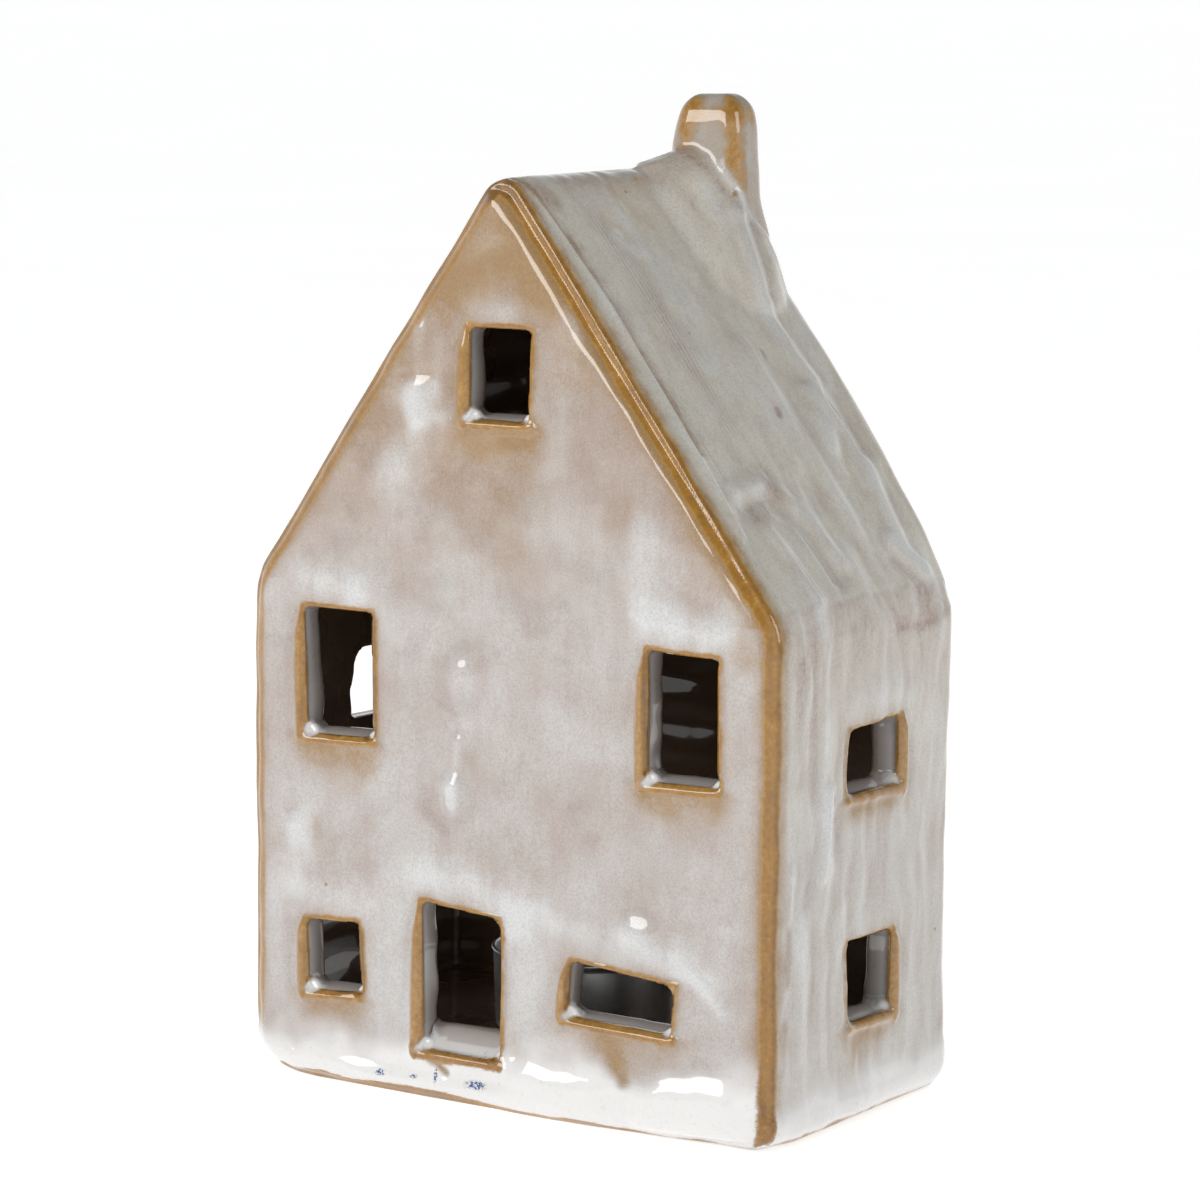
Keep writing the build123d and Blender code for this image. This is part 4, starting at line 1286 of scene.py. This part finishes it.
def glaze_material(sizes, colours):
    """White glaze over iron clay: rosy where thin, white where pooled, amber on the edges, with painted
    highlight and shade on its relief and painted shade down the openings.
    """
    material, nodes, shader, places = new_material("reactive_glaze")
    amber, haze, white = nodes.field("glaze_flow")
    blush_and_shade, inside, cobalt = nodes.field("glaze_spots")
    comb, roof, stack = nodes.field("glaze_clay")
    milk = nodes.field("glaze_body")[0]
    clouds = nodes.cloud(places, 17.0, 3.0, 0.5, 0.2)
    upright = nodes.cloud(nodes.stretched(places, (1.0, 1.0, 0.3)), 6.5, 4.0, 0.65)
    brushed = nodes.cloud(nodes.stretched(places, (1.0, 1.0, 0.2)), 1.4, 3.0, 0.65)
    blotch = nodes.cloud(places, 4.5, 5.0, 0.62)
    fuzz = nodes.cloud(places, 1.0, 4.0, 0.7)
    grain = nodes.cloud(places, 0.4, 2.0, 0.65)

    # The body of the glaze: rosy and milky clouds, greyer on the roof and the chimney
    base = nodes.blend(nodes.ramp(clouds, 0.24, 0.76), colours.rosy, colours.milky)
    base = nodes.blend(nodes.times(roof, 0.9), base, colours.roof)
    base = nodes.blend(nodes.times(stack, 0.85), base, colours.stack)
    pale = nodes.times(nodes.ramp(upright, 0.42, 0.72), 0.3)
    base = nodes.blend(pale, base, colours.milky)

    # Brown and tan where it is thin, between the teeth of the comb too, and brown as painted shade
    # round the relief
    thin = nodes.times(nodes.ramp(blotch, 0.46, 0.74), 0.16)
    thin = nodes.times_plus(nodes.ramp(upright, 0.52, 0.36), 0.14, thin)
    thin = nodes.times_plus(nodes.ramp(brushed, 0.5, 0.75), 0.22, thin)
    teeth = nodes.bands(places, 1.1, 1.2, "Y")
    scored = nodes.times(nodes.ramp(teeth, 0.35, 0.05), comb)
    thin = nodes.times_plus(scored, 0.5, thin)
    blush_amount = nodes.times(nodes.plus(blush_and_shade, thin), nodes.ramp(fuzz, 0.25, 0.75, 0.45, 1.0))
    base = nodes.blend(blush_amount, base, colours.blush_and_shade)
    haze_amount = nodes.times(haze, nodes.ramp(blotch, 0.25, 0.7, 0.55, 1.0))
    haze_amount = nodes.times(haze_amount, nodes.ramp(fuzz, 0.2, 0.7, 0.65, 1.0))
    base = nodes.blend(haze_amount, base, colours.haze)

    # White where it gathered, and a painted highlight on raised glaze
    swirl = nodes.times(nodes.maths("SUBTRACT", upright, 0.5), milk)
    cloud_and_highlight = nodes.ramp(nodes.times_plus(swirl, 1.6, milk), 0.0, 1.0, 0.0, 0.85)
    base = nodes.blend(cloud_and_highlight, base, colours.cloud_and_highlight)
    white_amount = nodes.times(nodes.ramp(white, 0.05, 0.95), 0.97)
    base = nodes.blend(white_amount, base, colours.pooled)

    # Amber with a frayed rim where it broke over an edge
    frayed = nodes.shaken(nodes.shaken(amber, fuzz, 0.8), grain, 0.5)
    rim = nodes.times(nodes.ramp(frayed, 0.02, 0.6), 0.85)
    base = nodes.blend(rim, base, colours.haze)
    tone = nodes.shaken(nodes.shaken(nodes.shaken(amber, fuzz, 1.6), grain, 0.9), blotch, 0.9)
    amber_tone = nodes.blend(nodes.ramp(tone, 0.8, 1.75), colours.amber, colours.umber)
    golden = nodes.times(nodes.ramp(tone, 0.95, 0.4), 0.7)
    amber_tone = nodes.blend(golden, amber_tone, colours.golden)
    base = nodes.blend(nodes.ramp(frayed, 0.32, 0.95), base, amber_tone)

    # Cobalt specks, dark pinholes and a fine grain
    blue = nodes.ramp(nodes.times(cobalt, nodes.ramp(grain, 0.3, 0.6)), 0.12, 0.6)
    base = nodes.blend(blue, base, colours.cobalt)
    spots = nodes.add("TexVoronoi", {"Vector": places, "Scale": 1.0 / (14.0 * METRES)})[0]
    pinhole = nodes.ramp(spots, 0.032, 0.018)
    base = nodes.blend(nodes.times(pinhole, 0.6), base, colours.umber)
    calm = nodes.times(nodes.shaken(grain, fuzz, 0.5), nodes.maths("SUBTRACT", 1.0, white_amount))
    grainy = nodes.ramp(calm, 0.25, 0.75, 0.88, 1.08)
    rosier = nodes.ramp(calm, 0.25, 0.75, 0.82, 1.1)
    shade = nodes.add("CombineColor", {0: grainy, 1: rosier, 2: rosier})[0]
    base = nodes.blend(1.0, base, shade, "MULTIPLY")
    # The dark glaze inside, ramped in down the reveals as painted shade
    base = nodes.blend(inside, base, colours.inside)

    height = nodes.times_plus(fuzz, 0.08, nodes.cloud(places, 2.4, 2.0, 0.5))
    height = nodes.times_plus(nodes.times(teeth, comb), 1.6, height)
    looks = {
        "Base Color": base,
        "Roughness": nodes.ramp(clouds, 0.35, 0.65, 0.30, 0.22),
        "Normal": nodes.bump(height, 0.35, 0.12),
        "Coat Weight": 1.0,
        "Coat Roughness": sizes.gloss_roughness,
        "Coat IOR": 1.55,
        "Specular IOR Level": 0.2,
    }
    nodes.set_inputs(shader, looks)
    return material


def pressed_metal(looks):
    """Thin pressed metal with faint drawn lines and handling marks."""
    material, nodes, shader, places = new_material("pressed_metal")
    drawn = nodes.cloud(nodes.stretched(places, (1.0, 1.0, 0.5)), 0.6, 3.0, 0.6)
    marks = nodes.cloud(places, 3.0, 4.0, 0.6)
    tone = nodes.blend(nodes.ramp(marks, 0.3, 0.8, 0.0, 0.35), looks.metal, looks.dull_metal)
    rough = nodes.ramp(drawn, 0.2, 0.8, 0.34, 0.46)
    bump = nodes.bump(drawn, 0.25, 0.03)
    inputs = {"Base Color": tone, "Metallic": 1.0, "Roughness": rough, "Normal": bump}
    nodes.set_inputs(shader, inputs)
    return material


# How deep red, green and blue light go into the wax
WAX_DEPTHS = (4.0, 3.0, 2.0)


def candle_wax(looks):
    """Cloudy wax with fine pits, which lets a little light through."""
    material, nodes, shader, places = new_material("candle_wax")
    clouds = nodes.cloud(places, 5.0, 4.0, 0.55)
    pits = nodes.cloud(places, 0.8, 3.0, 0.6)
    inputs = {
        "Base Color": nodes.blend(nodes.ramp(clouds, 0.35, 0.7), looks.wax, looks.pale_wax),
        "Roughness": nodes.ramp(clouds, 0.3, 0.7, 0.38, 0.5),
        "Normal": nodes.bump(pits, 0.2, 0.05),
        "Subsurface Weight": 0.3,
        "Subsurface Radius": [depth * METRES for depth in WAX_DEPTHS],
        "Subsurface Scale": 0.6,
    }
    nodes.set_inputs(shader, inputs)
    return material


def waxed_cotton(looks):
    """Slanting strands of waxed cotton, darker between the strands as painted shade."""
    material, nodes, shader, places = new_material("waxed_cotton")
    strands = nodes.bands(places, 0.5, 2.0, "DIAGONAL")
    tone = nodes.blend(nodes.ramp(strands, 0.1, 0.9), looks.shaded_cotton, looks.cotton)
    bump = nodes.bump(strands, 0.6, 0.1)
    nodes.set_inputs(shader, {"Base Color": tone, "Roughness": 0.6, "Normal": bump})
    return material


# The tealight


def lathed(name, profile, segments, push=None):
    """A piece turned about the tealight's axis from (radius, height) points."""
    form = bmesh.new()
    rings = []
    for radius, height in profile:
        ring = []
        for angle in 2 * np.pi * np.arange(segments) / segments:
            moved = radius + (push(radius, height, angle) if push else 0.0)
            x = TEALIGHT_X + moved * np.cos(angle)
            y = TEALIGHT_Y + moved * np.sin(angle)
            ring.append(form.verts.new(Vector((x, y, height)) * METRES))
        rings.append(ring)
    for lower, upper in zip(rings, rings[1:]):
        for step in range(segments):
            following = (step + 1) % segments
            form.faces.new((lower[step], lower[following], upper[following], upper[step]))
    form.faces.new(list(reversed(rings[0])))
    form.faces.new(rings[-1])
    made = closed_object(name, form)
    shade_smooth(made.data)
    return made


CUP_BOTTOM = 9.8
CUP_TOP = 25.8
CUP_BASE_RADIUS = 18.05
CUP_TOP_RADIUS = 18.55
RIM_ROLL = 0.42
WAX_TOP = 22.8
# Radius of the closing face at the axis
AXIS_GAP = 0.2


def cup_profile():
    """Outside up from the base, round the rolled rim, and down the inside to the floor."""
    points = [(AXIS_GAP, CUP_BOTTOM), (CUP_BASE_RADIUS - 1.2, CUP_BOTTOM)]
    for turn in np.radians(np.linspace(-80, 0, 6)):
        points.append((CUP_BASE_RADIUS - 1.0 + np.cos(turn), CUP_BOTTOM + 1.0 + np.sin(turn)))
    wall_height = CUP_TOP - 0.9 - CUP_BOTTOM - 1.0
    for share in np.linspace(0.1, 1.0, 14):
        radius = CUP_BASE_RADIUS + (CUP_TOP_RADIUS - CUP_BASE_RADIUS) * share
        points.append((radius, CUP_BOTTOM + 1.0 + wall_height * share))
    for turn in np.radians(np.linspace(-60, 170, 10)):
        points.append((18.5 + RIM_ROLL * np.cos(turn), CUP_TOP - 0.45 + RIM_ROLL * np.sin(turn)))
    for share in np.linspace(0, 1, 10):
        points.append((18.1 - 0.5 * share, CUP_TOP - 1.0 - 14.3 * share))
    points += [(17.2, CUP_BOTTOM + 0.45), (AXIS_GAP, CUP_BOTTOM + 0.45)]
    return points


def wax_profile():
    """Up the wall, over the risen rim and the shallow pool to the mound at the wick."""
    top = WAX_TOP
    bottom = CUP_BOTTOM + 0.5
    points = [(0.95, bottom), (17.1, bottom)]
    for share in np.linspace(0, 1, 8):
        points.append((17.1 + 0.4 * share, bottom + 0.1 + (top - bottom - 0.5) * share))
    points += [(17.75, top + 0.28), (17.5, top + 0.22), (17.0, top - 0.02), (16.0, top - 0.18)]
    for radius in np.linspace(14.5, 3.0, 14):
        points.append((radius, top - 0.22 - 0.05 * np.cos(radius * 0.9)))
    points += [(2.0, top - 0.1), (1.5, top + 0.12), (1.1, top + 0.3), (0.82, top + 0.32)]
    return points


def show(obj, body, slot, *nodes):
    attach(obj, body)
    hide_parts(*nodes)


class CERAMIC_OT_glazed_slabs(bpy.types.Operator):
    """Builds the glazed slabs of the house and its chimney"""

    bl_idname = "ceramic_house.glazed_slabs"
    bl_label = "Glazed slabs"

    def execute(self, context):
        sizes = context.scene.glaze_sizes
        material = glaze_material(sizes, context.scene.glaze_colours)
        whole = new_object("whole_form", glazed_form(sizes))
        for name, slab in part_slabs(whole, material).items():
            if len(slab.data.polygons) < FEWEST_FACES:
                raise RuntimeError(f"the form has no {name} to part")
            show(slab, "house", "glazed_clay", name)
        bpy.data.objects.remove(whole)
        return {"FINISHED"}


class CERAMIC_OT_tealight_cup(bpy.types.Operator):
    """Builds the tealight's pressed metal cup"""

    bl_idname = "ceramic_house.tealight_cup"
    bl_label = "Tealight cup"

    def execute(self, context):
        looks = context.scene.tealight_looks
        depth = looks.crimp / METRES
        pleat_count = 40
        dent = 0.06

        def pleats(radius, height, angle):
            """Fine pleats in the wall, which fade towards the base and the rim, and soft dents."""
            if radius < 17.0:
                return 0.0
            wander = noise.noise(Vector((np.cos(angle) * 3, np.sin(angle) * 3, height * 0.08)))
            fade = min(max((height - CUP_BOTTOM - 1.7) / 3.0, 0.0), 1.0)
            fade *= 1.0 if height < CUP_TOP - 1.1 else 0.3
            pleat = 0.5 + 0.5 * np.cos(angle * pleat_count)
            return -depth * fade * pleat * (0.7 + wander) + dent * wander

        cup = lathed("tealight_cup_pressed", cup_profile(), looks.segments * 2, pleats)
        cup.data.materials.append(pressed_metal(looks))
        show(cup, "tealight", "cup_metal", "tealight_cup")
        return {"FINISHED"}


class CERAMIC_OT_tealight_wax(bpy.types.Operator):
    """Builds the tealight's wax with its risen rim"""

    bl_idname = "ceramic_house.tealight_wax"
    bl_label = "Tealight wax"

    def execute(self, context):
        looks = context.scene.tealight_looks
        wax = lathed("tealight_wax_poured", wax_profile(), looks.segments)
        wax.data.materials.append(candle_wax(looks))
        show(wax, "tealight", "candle_wax", "tealight_wax")
        return {"FINISHED"}


class CERAMIC_OT_wick(bpy.types.Operator):
    """Builds the plaited wick and finishes its holder"""

    bl_idname = "ceramic_house.wick"
    bl_label = "Wick and holder"

    def execute(self, context):
        looks = context.scene.tealight_looks
        low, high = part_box("wick")
        bottom = low.z / METRES
        top = high.z / METRES

        strands = 3
        lean = 0.018

        def plait(radius, height, angle):
            """The strands turn round the wick one way, and more faintly the other way."""
            twist = height * 2.6
            turned = strands * angle
            return 0.09 * np.cos(turned - twist) + 0.05 * np.cos(turned + twist)

        profile = [(AXIS_GAP, bottom), (0.6, bottom)]
        profile += [(0.68, height) for height in np.linspace(bottom + 0.1, top - 0.5, 110)]
        profile += [(0.62, top - 0.25), (0.42, top - 0.05), (0.15, top)]
        stem = lathed("wick_plaited", profile, 24, plait)
        for vertex in stem.data.vertices:
            rise = max(vertex.co.z / METRES - WAX_TOP, 0.0)
            vertex.co.x += lean * rise * rise * METRES
        stem.data.materials.append(waxed_cotton(looks))
        show(stem, "tealight", "wick_cotton", "wick")
        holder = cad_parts["wick_sustainer"]
        holder.data.materials.clear()
        holder.data.materials.append(pressed_metal(looks))
        return {"FINISHED"}


def floor_material(looks):
    """A pale floor that is faintly clouded and glows enough to hide where it ends."""
    material, nodes, shader, places = new_material("pale_floor")
    share = nodes.ramp(nodes.cloud(places, 300.0, 2.0), 0.3, 0.7, 0.0, 0.1)
    inputs = {
        "Base Color": nodes.blend(share, looks.floor, (1, 1, 1)),
        "Roughness": 0.8,
        "Emission Color": (1.0, 1.0, 1.0, 1.0),
        "Emission Strength": looks.floor_glow,
    }
    nodes.set_inputs(shader, inputs)
    return material


# The soft lights: the direction each shines from, and its distance, width and height in metres
KEY_FROM = (-0.29, -0.87, 0.4)
KEY_DISTANCE = 0.9
KEY_SIZE = (0.72, 0.36)
FILL_FROM = (1.0, -0.2, 0.45)
FILL_DISTANCE = 1.0
FILL_SIZE = (0.35, 0.5)
# Where the lights point, in metres
LIGHTS_AIM = Vector((0.0, 0.0, 0.09))
# The place in the middle of the picture
CAMERA_AIM = Vector((2.93, -5.0, 94.835)) * METRES
FLOOR_RADIUS_METRES = 30.0


def add_softbox(name, direction, distance, size, power, colour):
    """A rectangular soft light that faces the house from the given direction."""
    light = bpy.data.lights.new(name, "AREA")
    light.shape = "RECTANGLE"
    light.size, light.size_y = size
    light.energy = power
    light.color = colour
    obj = new_object(name, light)
    away = Vector(direction).normalized()
    obj.location = LIGHTS_AIM + away * distance
    obj.rotation_euler = away.to_track_quat("Z", "Y").to_euler()


class CERAMIC_OT_stage(bpy.types.Operator):
    """Sets the floor, the soft light and the camera"""

    bl_idname = "ceramic_house.stage"
    bl_label = "Stage"

    def execute(self, context):
        looks = context.scene.stage_looks
        self.lay_floor(looks)
        self.light(context.scene, looks)
        self.place_camera(context.scene, looks)
        context.scene.view_settings.view_transform = "Standard"
        return {"FINISHED"}

    def lay_floor(self, looks):
        form = bmesh.new()
        bmesh.ops.create_circle(form, cap_ends=True, segments=96, radius=FLOOR_RADIUS_METRES)
        mesh = bpy.data.meshes.new("floor")
        form.to_mesh(mesh)
        form.free()
        floor = new_object("floor", mesh)
        mesh.materials.append(floor_material(looks))

    def light(self, scene, looks):
        world = bpy.data.worlds.new("studio")
        scene.world = world
        world.use_nodes = True
        nodes = Nodes(world.node_tree)
        away = nodes.add("TexCoord", {})["Generated"]
        height = nodes.add("SeparateXYZ", {0: away})[2]
        strength = nodes.ramp(height, 0.14, 0.6, looks.horizon, looks.zenith)
        background = world.node_tree.nodes["Background"]
        nodes.set_inputs(background, {"Color": (*looks.sky, 1.0), "Strength": strength})
        key = (KEY_FROM, KEY_DISTANCE, KEY_SIZE, looks.key, looks.key_colour)
        fill = (FILL_FROM, FILL_DISTANCE, FILL_SIZE, looks.fill, looks.fill_colour)
        add_softbox("key_light", *key)
        add_softbox("fill_light", *fill)

    def place_camera(self, scene, looks):
        yaw, pitch, roll = looks.yaw, looks.pitch, looks.roll
        back = Vector((np.sin(yaw) * np.cos(pitch), -np.cos(yaw) * np.cos(pitch), np.sin(pitch)))
        right = Vector((np.cos(yaw), np.sin(yaw), 0.0))
        up = right.cross(-back)
        leaning_right = np.cos(roll) * right + np.sin(roll) * up
        leaning_up = -np.sin(roll) * right + np.cos(roll) * up
        camera = bpy.data.cameras.new("camera")
        camera.lens = looks.lens
        camera.sensor_width = 36.0
        camera.clip_start = 10.0 * METRES
        obj = new_object("camera", camera)
        turn = Matrix((leaning_right, leaning_up, back)).transposed().to_4x4()
        obj.matrix_world = Matrix.Translation(CAMERA_AIM + back * looks.distance) @ turn
        scene.camera = obj


OPERATORS = (
    CERAMIC_OT_glazed_slabs,
    CERAMIC_OT_tealight_cup,
    CERAMIC_OT_tealight_wax,
    CERAMIC_OT_wick,
    CERAMIC_OT_stage,
)
GROUPS = {
    "glaze_sizes": GlazeSizes,
    "glaze_colours": GlazeColours,
    "tealight_looks": TealightLooks,
    "stage_looks": StageLooks,
}


class CERAMIC_PT_house(bpy.types.Panel):
    """Lists the steps that build the tealight house"""

    bl_label = "Tealight house"
    bl_idname = "CERAMIC_PT_house"
    bl_space_type = "VIEW_3D"
    bl_region_type = "UI"
    bl_category = "Tealight house"

    def draw(self, context):
        for operator in OPERATORS:
            self.layout.operator(operator.bl_idname)


def register():
    for group_name, group in GROUPS.items():
        bpy.utils.register_class(group)
        setattr(bpy.types.Scene, group_name, PointerProperty(type=group))
    for operator in OPERATORS:
        bpy.utils.register_class(operator)
    bpy.utils.register_class(CERAMIC_PT_house)


def unregister():
    bpy.utils.unregister_class(CERAMIC_PT_house)
    for operator in reversed(OPERATORS):
        bpy.utils.unregister_class(operator)
    for group_name, group in GROUPS.items():
        delattr(bpy.types.Scene, group_name)
        bpy.utils.unregister_class(group)


def main():
    register()
    bpy.ops.ceramic_house.glazed_slabs()
    bpy.ops.ceramic_house.tealight_cup()
    bpy.ops.ceramic_house.tealight_wax()
    bpy.ops.ceramic_house.wick()
    bpy.ops.ceramic_house.stage()


if __name__ == "__main__":
    main()
